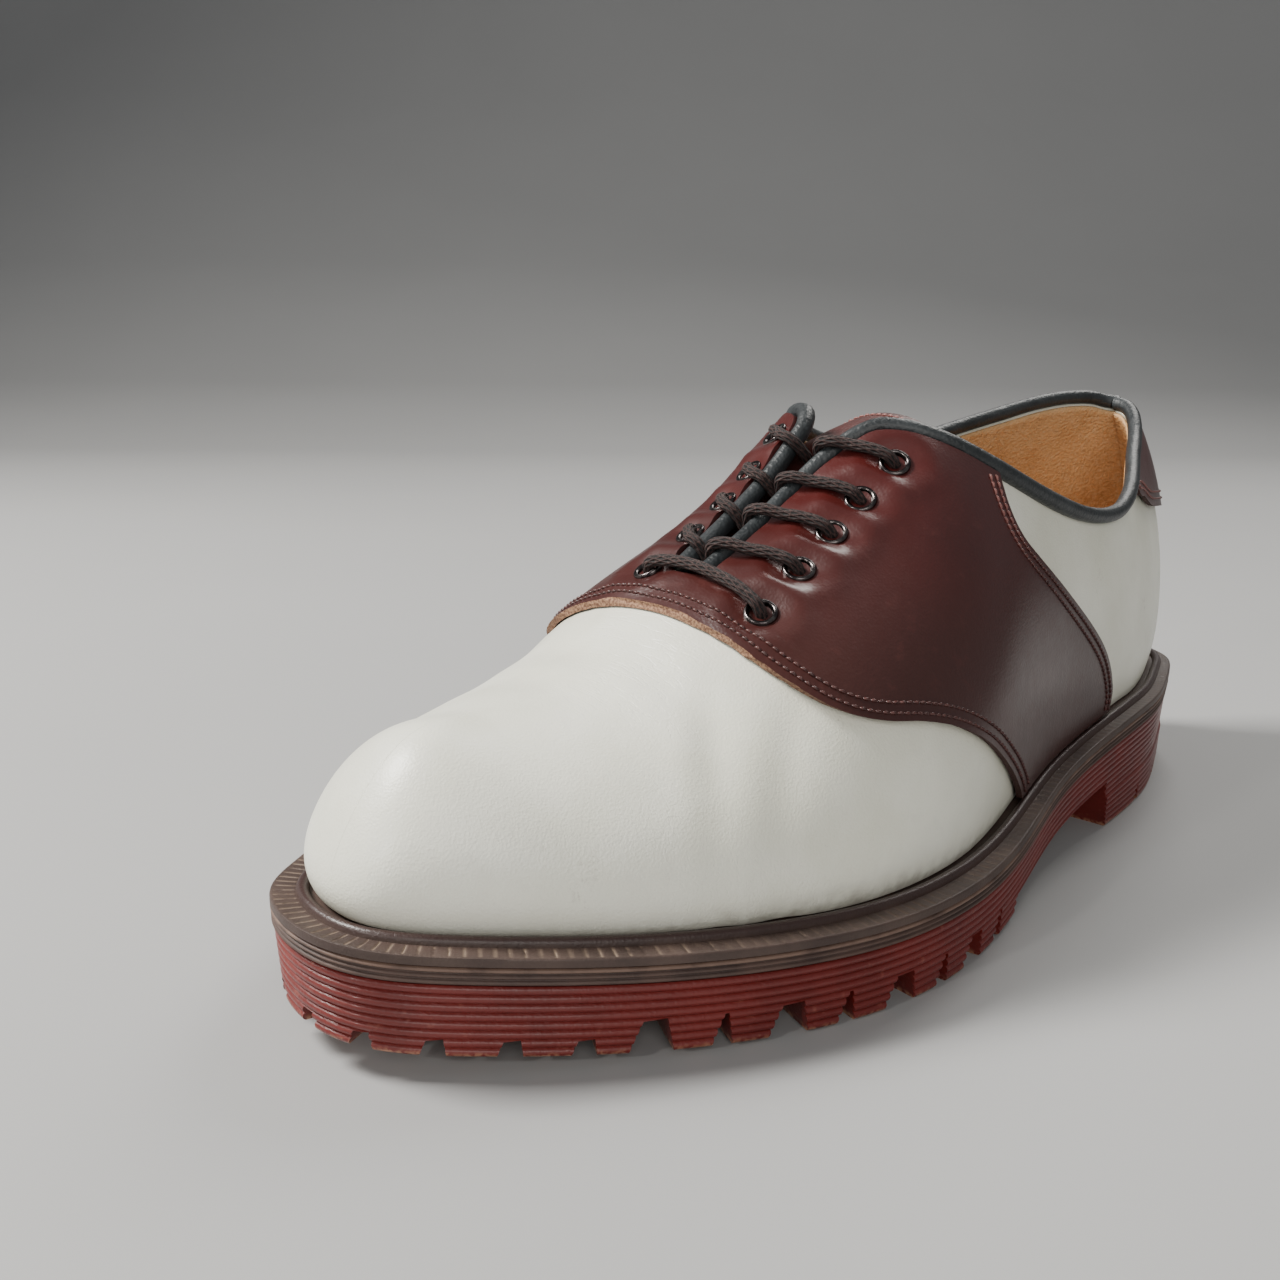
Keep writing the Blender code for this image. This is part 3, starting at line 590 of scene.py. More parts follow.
dress(midsole, "brown_rubber", "midsole")


# The welt is a strip of brown leather sewn round the upper's foot, and it stands out past the upper. Its
# top is wheeled across with a hot tool, and a rolled bead runs beside the upper.
bead_width = 0.0025
bead_height = 0.0016
bead_clearance = 0.0017
bead_steps = 9
wheel_pitch = 0.0026
wheel_depth = 0.00028
wheel_sharpness = 5
welt_corner = 0.0004
welt_steps = 72

welt_leather, shader, place = new_finish("welt_leather", 0.5, coat=0.1, coat_roughness=0.2)
groove = marked(place, "groove")
bead = marked(place, "bead")
mottle = place.grain(70, 4)
colour = mottle.shades((0.040, 0.022, 0.017), (0.074, 0.045, 0.035))
front = place.axis(1).ease(-0.085, -0.125)
worn = groove * place.grain(300, 2).ease(0.3, 0.55) * (0.25 + front * 0.75)
colour = worn.blend(colour, (0.34, 0.25, 0.18))
colour = bead.blend(colour, (0.034, 0.015, 0.013))
feed(colour, shader, "Base Color")
feed(0.55 - bead * 0.22 + mottle * 0.1, shader, "Roughness")
emboss(place.grain(1600, 3), shader, 0.00012)

WELT_EDGE = sole_edge(welt_steps)
reach = reach_at(WELT_EDGE[0][:, 1])
run = run_along(np.vstack([WELT_EDGE[0], WELT_EDGE[0][:1]]))
marks_round = round(run[-1] / wheel_pitch)
wheel = (1 - np.abs(np.sin(math.pi * marks_round * run[:-1] / run[-1]))) ** wheel_sharpness
bead_start = reach - bead_clearance - bead_width
WELT_SIDE = [
    # inset and drop in metres, up the welt's outer side
    (0.0000, welt_thickness),
    (0.0000, 0.00050),
    (0.0001, 0.00015),
]
WELT_TOP = [
    # share of the way from the edge to the bead, how deep the wheel marks are there
    (0.00, 0.0),
    (0.07, 0.7),
    (0.20, 1.0),
    (0.50, 1.0),
    (0.80, 1.0),
    (0.93, 0.6),
]
rows = []
groove_marks = []
bead_marks = []


def welt_row(inset, drop, groove=0.0, bead=0.0):
    """One line round the welt, and how much of it is wheel mark and bead."""
    rows.append(ring(WELT_EDGE, inset, drop))
    groove_marks.append(wheel * groove)
    bead_marks.append(0 * wheel + bead)


for inset, drop in WELT_SIDE:
    welt_row(inset, drop)
for share, depth in WELT_TOP:
    welt_row(welt_corner + (bead_start - welt_corner) * share, wheel_depth * wheel * depth, depth)
for angle in np.linspace(0, math.pi, bead_steps):
    across = bead_start + bead_width * (0.5 - 0.5 * math.cos(angle))
    welt_row(across, -bead_height * math.sin(angle) ** 0.8, bead=math.sin(angle) ** 0.5)
for drop in (0.0, welt_thickness):
    welt_row(reach + welt_tuck, drop)
faces = grid_faces(len(rows), len(wheel), True, True)
marks = {"groove": np.concatenate(groove_marks), "bead": np.concatenate(bead_marks)}
welt = piece_from("wheeled_welt", np.vstack(rows), faces, [welt_leather], marks)
crisp(welt, 50)
dress(welt, "welt_leather", "welt")


# The insole is a tan leather board that makes the floor inside the shoe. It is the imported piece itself
# with a finish put on, since only its middle shows through the collar.
insole_leather, shader, place = new_finish("insole_leather", 0.6)
mottle = place.grain(45, 5)
colour = mottle.shades((0.40, 0.17, 0.055), (0.56, 0.29, 0.12))
feed(place.grain(260, 3).ease(0.5, 0.75).blend(colour, (0.36, 0.15, 0.05)), shader, "Base Color")
emboss(place.pores(900) + mottle, shader, 0.0003)
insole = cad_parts["insole"]
insole.data.materials.clear()
insole.data.materials.append(insole_leather)


# The upper is white leather pulled over the last and sewn to the welt. It is open at the collar and
# between the facings, and it has soft creases where the foot bends.
wall = 0.0022
upper_thickness = 0.0012
upper_lap = 0.0004
upper_rows = 62
bulge_lift = 0.75
throat_lap = 0.02
foot_gap = 0.0004
# Which column of a table holds the outer and the inner side.
COLUMN = {1: 1, -1: 2}
instep_height = 0.130
LAST = [
    # share of the length, crest height as a share of the instep height, crest offset as a share of the
    # ball width, outer and inner fullness, and bulge as a share of the ball width
    (0.00, 0.895, 0.000, 1.81, 1.92, 0.029),
    (0.15, 0.912, 0.000, 1.73, 1.82, 0.029),
    (0.30, 0.975, -0.006, 2.20, 2.20, 0.026),
    (0.42, 0.965, 0.004, 2.17, 2.17, 0.023),
    (0.52, 0.875, 0.010, 2.10, 2.15, 0.020),
    (0.60, 0.713, 0.009, 2.05, 2.22, 0.024),
    (0.70, 0.578, 0.010, 2.00, 2.28, 0.029),
    (0.78, 0.470, 0.000, 2.05, 2.19, 0.029),
    (0.87, 0.436, -0.010, 2.10, 2.08, 0.029),
    (0.94, 0.440, -0.020, 2.20, 2.20, 0.029),
    (1.00, 0.343, -0.020, 2.30, 2.32, 0.029),
]
end_pull = 0.205
turn_step = 0.005
climb_step = math.radians(1.8)
top_climb = math.radians(90)
crest_blend = math.radians(10)
# The edge of the opening, along the middle of its piping.
TOPLINE = [
    # share of the length, outer height, inner height
    (0.040, 0.826, 0.826),
    (0.074, 0.822, 0.823),
    (0.090, 0.795, 0.833),
    (0.113, 0.757, 0.835),
    (0.156, 0.712, 0.824),
    (0.198, 0.677, 0.800),
    (0.234, 0.652, 0.780),
    (0.270, 0.634, 0.762),
    (0.316, 0.633, 0.745),
    (0.350, 0.645, 0.740),
    (0.396, 0.675, 0.745),
    (0.445, 0.718, 0.765),
    (0.486, 0.761, 0.790),
    (0.517, 0.800, 0.818),
    (0.534, 0.819, 0.836),
    (0.550, 0.832, 0.846),
]
FACING_GAP = [
    # share of the length, outer half, inner half
    (0.535, 0.125, 0.070),
    (0.550, 0.096, 0.036),
    (0.570, 0.064, 0.030),
    (0.600, 0.038, 0.032),
    (0.650, 0.034, 0.028),
    (0.690, 0.030, 0.020),
]
throat = 0.640
corner_softness = math.radians(3)
piping_radius = 0.0020
piping_lift = 0.0008


def foot_side(inner):
    """The line where the upper meets the welt, on one side, from heel to toe."""
    line = EDGE[0] - EDGE[1] * reach_at(EDGE[0][:, 1])[:, None]
    heel = line[:, 1].argmax()
    line = np.roll(line, -heel, 0)
    toe = line[:, 1].argmin()
    if inner:
        return np.vstack([line[:1], line[toe:][::-1]])
    return line[: toe + 1]


FOOT = {1: foot_side(False), -1: foot_side(True)}
FOOT_BACK = FOOT[1][0, 1]
FOOT_FRONT = FOOT[1][-1, 1]
FOOT_MIDDLE = (FOOT_BACK + FOOT_FRONT) / 2
FOOT_HALF = (FOOT_BACK - FOOT_FRONT) / 2


def foot_edge(side, turn):
    """A place on the upper's foot: turn runs from 0 at the heel to 1 at the toe, on the side asked for."""
    y = FOOT_MIDDLE + FOOT_HALF * np.cos(math.pi * turn)
    return np.interp(-y, -FOOT[side][:, 1], FOOT[side][:, 0]), y


def last_surface(side, turn, climb):
    """A place on the last. Climb is an angle: 0 at the welt and a quarter turn at the crest."""
    x0, y0 = foot_edge(side, turn)
    far = (y0 - FOOT_MIDDLE) / FOOT_HALF
    y1 = FOOT_MIDDLE + FOOT_HALF * far * (1 - end_pull * far**2)
    x1 = ball_width * smooth(LAST, 2, share_at(y1))
    share = share_at(y0)
    fullness = smooth(LAST, 2 + COLUMN[side], share)
    c = np.maximum(np.cos(climb), 1e-9)
    s = np.sin(climb)
    r = (c**fullness + s**fullness) ** (-1 / fullness)
    across = 1 - r * c
    up = r * s
    # The bulge pushes the wall out, square to the foot's line.
    before = np.array(foot_edge(side, np.maximum(turn - turn_step, 0)))
    after = np.array(foot_edge(side, np.minimum(turn + turn_step, 1)))
    tangent = after - before
    tangent = tangent / np.maximum(np.sqrt((tangent**2).sum(0)), 1e-9)
    bulge = ball_width * smooth(LAST, 5, share) * np.sin(math.pi * up**bulge_lift)
    ends = np.abs(np.cos(math.pi * turn)) > 0.99999
    out_x = np.where(ends, 0, -tangent[1] * side)
    out_y = np.where(ends, np.sign(far), tangent[0] * side)
    x = x0 + (x1 - x0) * across + out_x * bulge
    y = y0 + (y1 - y0) * across + out_y * bulge
    crest = instep_height * smooth(LAST, 1, share_at(y))
    z0 = welt_top(y0) + foot_gap
    z = z0 + (crest - z0) * up
    return np.stack(np.broadcast_arrays(x, y, z), axis=-1)


def lifted(side, turn, climb, lift):
    """A place a given distance outside the last, along its normal."""
    turn = np.asarray(turn, float)
    climb = np.asarray(climb, float)
    place = last_surface(side, turn, climb)
    low_turn = np.clip(turn - 2 * turn_step, turn_step, 1 - turn_step)
    high_turn = np.clip(turn + 2 * turn_step, turn_step, 1 - turn_step)
    mid_turn = np.clip(turn, turn_step, 1 - turn_step)
    low_climb = np.clip(climb - climb_step, 0, top_climb - climb_step)
    high_climb = np.clip(climb + climb_step, 0, top_climb)
    mid_climb = np.clip(climb, 0, top_climb - 2 * climb_step)
    along = last_surface(side, high_turn, mid_climb) - last_surface(side, low_turn, mid_climb)
    upward = last_surface(side, mid_turn, high_climb) - last_surface(side, mid_turn, low_climb)
    normal = unit(np.cross(upward, along) * side)
    # On the crest and at the two ends the sides meet, so their normals are made level across it.
    flat = np.clip(1 - (top_climb - climb) / crest_blend, 0, 1)[..., None]
    level = unit(normal * np.array([0.0, 1.0, 1.0]))
    ends = (np.abs(turn - 0.5) > 0.4999)[..., None]
    normal = np.where(ends, level, normal * (1 - flat) + level * flat)
    return place + lift * unit(normal)


CLIMBS = np.linspace(math.radians(4), top_climb, 173)
SHOE_HEART = np.array([0.0, 0.0, 0.045])


def opening_climb(side, turn):
    """How far up a rib the opening's edge is, along the middle of its piping."""
    rib = last_surface(side, turn, CLIMBS)
    share = share_at(rib[:, 1])
    over = rib[:, 2] - instep_height * smooth(TOPLINE, COLUMN[side], share)
    over[share > TOPLINE[-1][0]] = -1
    crest = ball_width * smooth(LAST, 2, share)
    half_gap = ball_width * smooth(FACING_GAP, COLUMN[side], share)
    inside = half_gap - np.abs(rib[:, 0] - crest)
    inside[share < FACING_GAP[0][0] - throat_lap] = -1
    limits = []
    for past in (over, inside):
        limit = CLIMBS[-1]
        if (past > 0).any():
            k = max(int(np.argmax(past > 0)), 1)
            limit = np.interp(0, past[k - 1 : k + 1], CLIMBS[k - 1 : k + 1])
        limits.append(limit)
    low = min(limits)
    near = sum(math.exp((low - limit) / corner_softness) for limit in limits)
    return low - corner_softness * math.log(near)


SHOE_TURNS = np.linspace(0, 1, 261)


def edge_line(side, lift):
    """The middle of the piping, from the heel round to the throat."""
    turns = [turn for turn in SHOE_TURNS if turn < throat - 0.001]
    return np.array([lifted(side, turn, opening_climb(side, turn), lift) for turn in turns])


EDGE_LINE = {side: edge_line(side, 0.0) for side in (1, -1)}


def upper_climb(side, turn, margin):
    """How far up a rib the leather reaches, at a given distance from the middle of the piping."""
    rib = last_surface(side, turn, CLIMBS)
    start = EDGE_LINE[side][:-1]
    run = EDGE_LINE[side][1:] - start
    away = rib[:, None] - start
    part = np.clip((away * run).sum(2) / (run * run).sum(1), 0, 1)
    distance = np.linalg.norm(away - part[..., None] * run, axis=2).min(1)
    if distance.min() > margin:
        return CLIMBS[-1]
    k = int(np.argmax(distance < margin))
    return np.interp(-margin, -distance[k - 1 : k + 1], CLIMBS[k - 1 : k + 1])


def on_shoe(points):
    """Places worked out round the last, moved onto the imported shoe."""
    return np.asarray(points, float) - np.array([CENTRE, 0.0, 0.0])


def shoe_sheet(name, turns, climbs_count, margin, materials):
    """A sheet of leather on the last between two turns, from the welt up to the piping."""
    points = []
    faces = []
    steps = np.linspace(0, 1, climbs_count)
    for side in (1, -1):
        first = len(points) * climbs_count
        for turn in turns:
            top = upper_climb(side, turn, margin)
            points.append(last_surface(side, turn, steps * top))
        block = grid_faces(len(turns), climbs_count)
        faces += [tuple(first + i for i in face) for face in block]
    return piece_from(name, on_shoe(np.vstack(points)), faces, materials)


def raise_sheet(piece, lift):
    """Move each point of a sheet outward along its normal, by a distance or a function of the points."""
    mesh = piece.data
    points = np.array([vertex.co for vertex in mesh.vertices])
    normals = np.array([vertex.normal for vertex in mesh.vertices])
    outward = (points - SHOE_HEART) * np.array([1.0, 0.0, 1.0])
    if (normals * outward).sum() < 0:
        mesh.flip_normals()
        normals = -normals
    by = np.broadcast_to(lift(points) if callable(lift) else lift, len(points))
    mesh.vertices.foreach_set("co", (points + normals * by[:, None]).ravel())
    mesh.update()
    return piece


def thicken(piece, thickness):
    """Give a sheet its leather's thickness, inward from its outer face."""
    shell = piece.modifiers.new("leather", "SOLIDIFY")
    shell.thickness = thickness
    shell.offset = -1
    return settle(piece)


def soft(points, size, seed):
    """Slow, smooth unevenness between -1 and 1, with waves of about the given size."""
    shift = Vector((seed * 7.3, seed * 3.1, seed * 5.7))
    return np.array([noise(Vector(point) / size + shift) for point in points])


CREASES = [
    # both ends, across and along from the shoe's middle, then depth and width, all in metres
    ((0.020, -0.076), (0.036, -0.090), 0.00050, 0.0034),
    ((0.004, -0.079), (0.026, -0.083), 0.00036, 0.0034),
    ((-0.024, -0.080), (-0.004, -0.084), 0.00045, 0.0036),
    ((0.034, -0.066), (0.045, -0.084), 0.00042, 0.0036),
    ((-0.046, -0.066), (-0.030, -0.082), 0.00045, 0.0036),
    ((-0.018, -0.092), (0.012, -0.096), 0.00030, 0.0050),
    ((-0.034, -0.088), (-0.016, -0.098), 0.00030, 0.0046),
]
ridge_height = 0.6
ridge_away = 1.8
SWELLS = [
    # height and size in metres, then the noise's seed
    (0.00016, 0.016, 1),
    (0.00045, 0.040, 2),
]


def creased(points):
    """Creases where the foot bends: each is a soft trough with a low ridge beside it."""
    total = np.zeros(len(points))
    for start, end, depth, width in CREASES:
        start = np.array(start)
        run = np.array(end) - start
        part = (points[:, :2] - start) @ run / (run @ run)
        inside = np.clip(part, 0, 1)
        away = points[:, :2] - start - inside[:, None] * run
        square = unit(np.array([-run[1], run[0]]))
        beside = away @ square
        past = np.linalg.norm(away - beside[:, None] * square, axis=1)
        fade = np.exp(-((past / width) ** 2)) * np.sin(math.pi * np.clip(inside, 0.08, 0.92)) ** 0.5
        trough = np.exp(-((beside / width) ** 2))
        ridge = np.exp(-((beside / width + ridge_away) ** 2))
        total += depth * fade * (ridge_height * ridge - trough)
    return total + sum(swell * soft(points, size, seed) for swell, size, seed in SWELLS)


white_leather, shader, place = new_finish("white_leather", 0.36, coat=0.15, coat_roughness=0.25)
cloud = place.grain(28, 4)
fine = place.grain(220, 4)
height = place.axis(2)
soil = (height + cloud * 0.004).ease(0.0285, 0.0225) * place.grain(260, 3).ease(0.3, 0.75)
scuff = place.grain(48, 6, 0.7).ease(0.62, 0.7) * place.grain(1400, 2).ease(0.45, 0.6)
colour = cloud.shades((0.76, 0.755, 0.63), (0.88, 0.875, 0.765))
colour = (fine.ease(0.5, 0.8) * 0.25).blend(colour, (0.70, 0.68, 0.60))
colour = (scuff * 0.5).blend(colour, (0.48, 0.44, 0.37))
feed((soil * 0.55).blend(colour, (0.30, 0.26, 0.21)), shader, "Base Color")
feed(0.30 + fine * 0.16 + soil * 0.2, shader, "Roughness")
length = place.axis(1)
bend = length.ease(-0.110, -0.086) * length.ease(-0.052, -0.072)
streaks = place.node("ShaderNodeMapping", {0: place, 2: (0, 0, 0.5), 3: (45, 520, 300)}).grain(1, 2)
wrinkles = (streaks.ease(0.46, 0.50) - streaks.ease(0.50, 0.54)) * bend * cloud.ease(0.45, 0.6)
emboss(place.pores(1700) * 0.5 + place.grain(2600, 2) * 0.6 + cloud - wrinkles * 0.6, shader, 0.00014, 0.6)

upper = shoe_sheet("white_upper", SHOE_TURNS, upper_rows, piping_radius - upper_lap, [white_leather])
thicken(raise_sheet(upper, creased), upper_thickness)
crisp(upper, 50)
dress(upper, "white_leather", "upper")


# The lining is soft tan leather glued inside the upper. It follows the same last a little further in,
# and ends under the piping.
lining_depth = 0.0014
lining_thickness = 0.0008
lining_lap = 0.0002
lining_rows = 34

lining_leather, shader, place = new_finish("lining_leather", 0.62)
mottle = place.grain(38, 5)
colour = mottle.shades((0.47, 0.235, 0.085), (0.66, 0.40, 0.19))
rim = place.grain(700, 3).ease(0.45, 0.65)
feed((rim * 0.3).blend(colour, (0.74, 0.52, 0.32)), shader, "Base Color")
emboss(place.pores(1100) + place.grain(900, 3), shader, 0.0003)
margin = piping_radius - lining_lap
lining = shoe_sheet("tan_lining", SHOE_TURNS[::2], lining_rows, margin, [lining_leather])
thicken(raise_sheet(lining, -lining_depth), lining_thickness)
dress(lining, "insole_leather")


# The saddle is a strap of glossy oxblood leather laid over the instep and sewn down with two rows of
# thread along its front and rear edges. Its raw cut edge shows tan, and it draws in at the eyelets.
saddle_thickness = 0.0015
saddle_lift = 0.0007
saddle_margin = 1.15 * piping_radius
saddle_rows = 64
edge_seat = 0.0019
SADDLE_FRONT = [
    # share of the length, share of the instep height, from the welt up to the crest
    (0.4715, 0.070),
    (0.486, 0.172),
    (0.510, 0.228),
    (0.540, 0.282),
    (0.574, 0.338),
    (0.609, 0.379),
    (0.642, 0.402),
    (0.672, 0.413),
    (0.692, 0.425),
    (0.709, 0.446),
    (0.720, 0.476),
    (0.727, 0.512),
    (0.730, 0.560),
    (0.731, 0.640),
]
SADDLE_REAR = [
    # the same, from above the opening down to the welt
    (0.477, 0.760),
    (0.480, 0.690),
    (0.472, 0.640),
    (0.452, 0.598),
    (0.405, 0.522),
    (0.352, 0.435),
    (0.318, 0.368),
    (0.297, 0.305),
    (0.289, 0.255),
    (0.289, 0.120),
]
EYELETS = [
    # share of the way round from heel to toe, then how far the outer and the inner eyelet are from
    # the middle of the instep, as shares of the ball width
    (0.642, 0.192, 0.092),
    (0.610, 0.183, 0.088),
    (0.583, 0.178, 0.092),
    (0.561, 0.179, 0.098),
    (0.539, 0.191, 0.106),
]
probe_lift = 0.002
press_forward = 0.012
press_reach = 0.35
PULLS = [
    # height in metres, distance from the eyelet's middle and width: the dent, then the swell round it
    (-0.00085, 0.0000, 0.0048),
    (0.00055, 0.0078, 0.0026),
]
saddle_unevenness = 0.00010
saddle_waves = 0.020
lace_dent = 0.00045
lace_dent_width = 0.0030
above_shoe = 1.1 * instep_height


def through(rows, steps):
    """A smooth line through a table's places, on the shoe's side in metres."""
    rows = np.array(rows)
    padded = np.vstack([2 * rows[0] - rows[1], rows, 2 * rows[-1] - rows[-2]])
    line = []
    for a, b, c, d in zip(padded, padded[1:], padded[2:], padded[3:]):
        for t in np.arange(steps) / steps:
            bend = (2 * a - 5 * b + 4 * c - d) * t**2 + (3 * b - a - 3 * c + d) * t**3
            line.append(0.5 * (2 * b + (c - a) * t + bend))
    line = np.array([*line, rows[-1]])
    return np.column_stack([sole_length * (0.5 - line[:, 0]), instep_height * line[:, 1]])


def eyelet_away(side, row):
    return ball_width * EYELETS[row][COLUMN[side]]


def over_instep(side, turn, away, lift):
    """A place over the instep, given by its distance from the middle towards one side."""
    half = side if away > 0 else -side
    rib = lifted(half, turn, CLIMBS, probe_lift)
    climb = np.interp(-abs(away), -np.abs(rib[:, 0] - rib[-1, 0]), CLIMBS)
    low, high = (lifted(half, turn, climb, level) for level in (0.0, probe_lift))
    return on_shoe(low + (high - low) / probe_lift * lift)


EYELET_SPOTS = {}
LACE_PRESS = []
for side in (1, -1):
    for row, (turn, _, _) in enumerate(EYELETS):
        away = eyelet_away(side, row)
        low, high = (over_instep(side, turn, away, level) for level in (0.0, probe_lift))
        EYELET_SPOTS[side, row] = (low, unit(high - low))
        ahead = turn + press_forward * (row > 0)
        LACE_PRESS.append((low, over_instep(side, ahead, away * press_reach, 0.0)))


def drawn_in(points):
    """How the saddle stands: proud of the upper, pressed in round each eyelet and full between them."""
    lift = saddle_lift + saddle_thickness + saddle_unevenness * soft(points, saddle_waves, 4)
    for spot, _ in EYELET_SPOTS.values():
        away = np.linalg.norm(points - spot, axis=1)
        for height, middle, width in PULLS:
            lift = lift + height * np.exp(-(((away - middle) / width) ** 2))
    for start, end in LACE_PRESS:
        run = end - start
        part = np.clip((points - start) @ run / (run @ run), 0, 1)
        away = np.linalg.norm(points - start - part[:, None] * run, axis=1)
        lift = lift - lace_dent * np.exp(-((away / lace_dent_width) ** 2))
    return lift


def sewn_on(sheet, lift, thickness, line):
    """Lay an oxblood sheet over the upper and cut it to a line, kept just above the welt's bead."""
    thicken(raise_sheet(sheet, lift), thickness)
    outline = [(y, max(z, welt_top(y) + edge_seat)) for y, z in line]
    carve(sheet, prism("cutter", outline, [raw_edge]), "INTERSECT")
    crisp(sheet, 40)


oxblood_leather, shader, place = new_finish("oxblood_leather", 0.28, coat=0.35, coat_roughness=0.2)
cloud = place.grain(26, 4)
fine = place.grain(300, 4)
height = place.axis(2)
upper_part = (height + cloud * 0.02).ease(0.065, 0.110)
colour = upper_part.blend((0.046, 0.0130, 0.0105), (0.068, 0.0075, 0.0065))
colour = (cloud.ease(0.35, 0.75) * 0.6).blend(colour, (0.030, 0.0080, 0.0070))
feed((fine.ease(0.55, 0.8) * 0.2).blend(colour, (0.11, 0.024, 0.019)), shader, "Base Color")
feed(0.12 + upper_part * 0.28, shader, "Coat Weight")
feed(0.26 + fine * 0.14, shader, "Roughness")
emboss(place.pores(1500) * 0.4 + place.grain(700, 3) * 0.5 + cloud, shader, 0.00014, 0.5)

raw_edge, shader, place = new_finish("raw_edge", 0.8)
fibre = place.grain(1800, 3)
height = place.axis(2)
length = place.axis(1)
# The cut edge is pale tan only high up and towards the front, and dark brown lower down and further back.
pale_high_front = (height + place.grain(150, 3) * 0.02).ease(0.060, 0.078) * length.ease(-0.025, -0.045)
tan = fibre.ease(0.35, 0.65).blend((0.12, 0.050, 0.028), (0.36, 0.205, 0.120))
feed(pale_high_front.blend((0.050, 0.016, 0.013), tan), shader, "Base Color")
emboss(fibre, shader, 0.0003)

edge_roughness = 0.00035
torn_size = 0.0013
torn_from = 0.045
torn_over = 0.020
least_torn = 0.25
cut_edge = through(SADDLE_FRONT, 50)
torn = edge_roughness * soft(np.column_stack([cut_edge, 0 * cut_edge[:, 0]]), torn_size, 6)
cut_edge[:, 0] += torn * np.clip((cut_edge[:, 1] - torn_from) / torn_over, least_torn, 1)
rear_line = through(SADDLE_REAR, 8)
over_top = [(sole_length * (0.5 - share), above_shoe) for share in (0.600, 0.470)]
along_foot = [(y, 0.0) for y in np.linspace(rear_line[-1, 0], cut_edge[0, 0], 30)]
turns = np.linspace(0.33, 0.76, 170)
saddle = shoe_sheet("oxblood_saddle", turns, saddle_rows, saddle_margin, [oxblood_leather])
sewn_on(saddle, drawn_in, saddle_thickness, [*cut_edge, *over_top, *rear_line, *along_foot])
dress(saddle, "oxblood_leather", "saddle")


# The heel tab is a small patch of the same oxblood leather round the back of the collar. It is laid over
# the upper and sewn down with two rows of thread along its lower edge.
tab_thickness = 0.0014
tab_rows = 56
tab_unevenness = 0.00008
tab_waves = 0.015
TAB_EDGE = [
    # share of the length, share of the instep height, along the lower edge from the back
    (-0.050, 0.590),
    (0.030, 0.590),
    (0.090, 0.600),
    (0.135, 0.612),
    (0.170, 0.640),
    (0.200, 0.668),
    (0.235, 0.860),
]


def tab_lift(points):
    return saddle_lift + tab_thickness + tab_unevenness * soft(points, tab_waves, 5)


tab_line = through(TAB_EDGE, 8)
over_tab = [(tab_line[-1, 0], above_shoe), (tab_line[0, 0], above_shoe)]
turns = np.linspace(0, 0.36, 120)
tab = shoe_sheet("oxblood_heel_tab", turns, tab_rows, piping_radius, [oxblood_leather])
sewn_on(tab, tab_lift, tab_thickness, [*tab_line, *over_tab])
dress(tab, "oxblood_leather", "heel_tab")


# The sewing is waxed oxblood thread, about fifteen stitches to the inch. Two rows hold the edges of the
# saddle and of the heel tab, and each stitch dips into the leather at its ends.
stitch_pitch = 0.0017
stitch_length = 0.00162
thread_radius = 0.00033
thread_sides = 6
stitch_rings = 5
stitch_taper = 0.3
stitch_rise = 0.6
stitch_dip = 0.9
thread_inset = 0.0004
beside_shoe = 0.1
past_middle = 0.012
seam_step = 0.001
seam_passes = 3


def surface_of(piece):
    """A piece's faces, arranged for looking up the nearest leather."""
    mesh = piece.data
    points = [vertex.co.copy() for vertex in mesh.vertices]
    return BVHTree.FromPolygons(points, [tuple(face.vertices) for face in mesh.polygons])


def traced(tree, line, side):
    """Where a line drawn on the shoe's side meets the leather, on one side of the shoe."""
    found = []
    for y, z in line:
        spot, _, _, _ = tree.ray_cast(Vector((side * beside_shoe, y, z)), Vector((-side, 0, 0)))
        if spot is not None and spot.x * side > -past_middle:
            found.append(np.array(spot))
    return np.array(found)


def evenly(points, pitch):
    """Points at an even pitch along a line, with the line's direction at each."""
    points = np.asarray(points)
    run = run_along(points)
    at = np.arange(pitch / 2, run[-1], pitch)
    back, places, ahead = (
        np.column_stack([np.interp(at + shift, run, points[:, k]) for k in range(3)])
        for shift in (-pitch / 2, 0, pitch / 2)
    )
    return places, unit(ahead - back)


def set_in(tree, points, distance, inward_hint):
    """A line moved across the leather by a distance, towards the hint's side of it."""
    places, along = evenly(points, seam_step)
    moved = []
    for place, way in zip(places, along):
        _, normal, _, _ = tree.find_nearest(Vector(place))
        across = np.cross(np.array(normal), way)
        if across @ (inward_hint - place) < 0:
            across = -across
        spot, _, _, _ = tree.find_nearest(Vector(place + unit(across) * distance))
        moved.append(np.array(spot))
    moved = np.array(moved)
    for _ in range(seam_passes):
        moved[1:-1] = (moved[:-2] + moved[1:-1] + moved[2:]) / 3
    return moved


def stitches(name, tree, lines, material, slot):
    """Rows of stitches, each a short thread that dips into the leather at its ends."""
    points = []
    faces = []
    block = grid_faces(stitch_rings, thread_sides, round_columns=True)
    for line in lines:
        places, along = evenly(line, stitch_pitch)
        for place, way in zip(places, along):
            spot, normal, _, _ = tree.find_nearest(Vector(place))
            normal = np.array(normal)
            across = unit(np.cross(normal, way))
            first = len(points)
            for t in np.linspace(-1, 1, stitch_rings):
                size = thread_radius * (1 - stitch_taper * t * t)
                rise = thread_radius * (stitch_rise - stitch_dip * t * t)
                middle = np.array(spot) + way * (t * stitch_length / 2) + normal * rise
                for angle in np.arange(thread_sides) * 2 * math.pi / thread_sides:
                    points.append(middle + size * (across * math.cos(angle) + normal * math.sin(angle)))
            faces += [tuple(first + i for i in face) for face in block]
            faces.append(tuple(range(first, first + thread_sides))[::-1])
            faces.append(tuple(range(len(points) - thread_sides, len(points))))
    piece = piece_from(name, points, faces, [material], weld=1e-7)
    return dress(piece, slot)


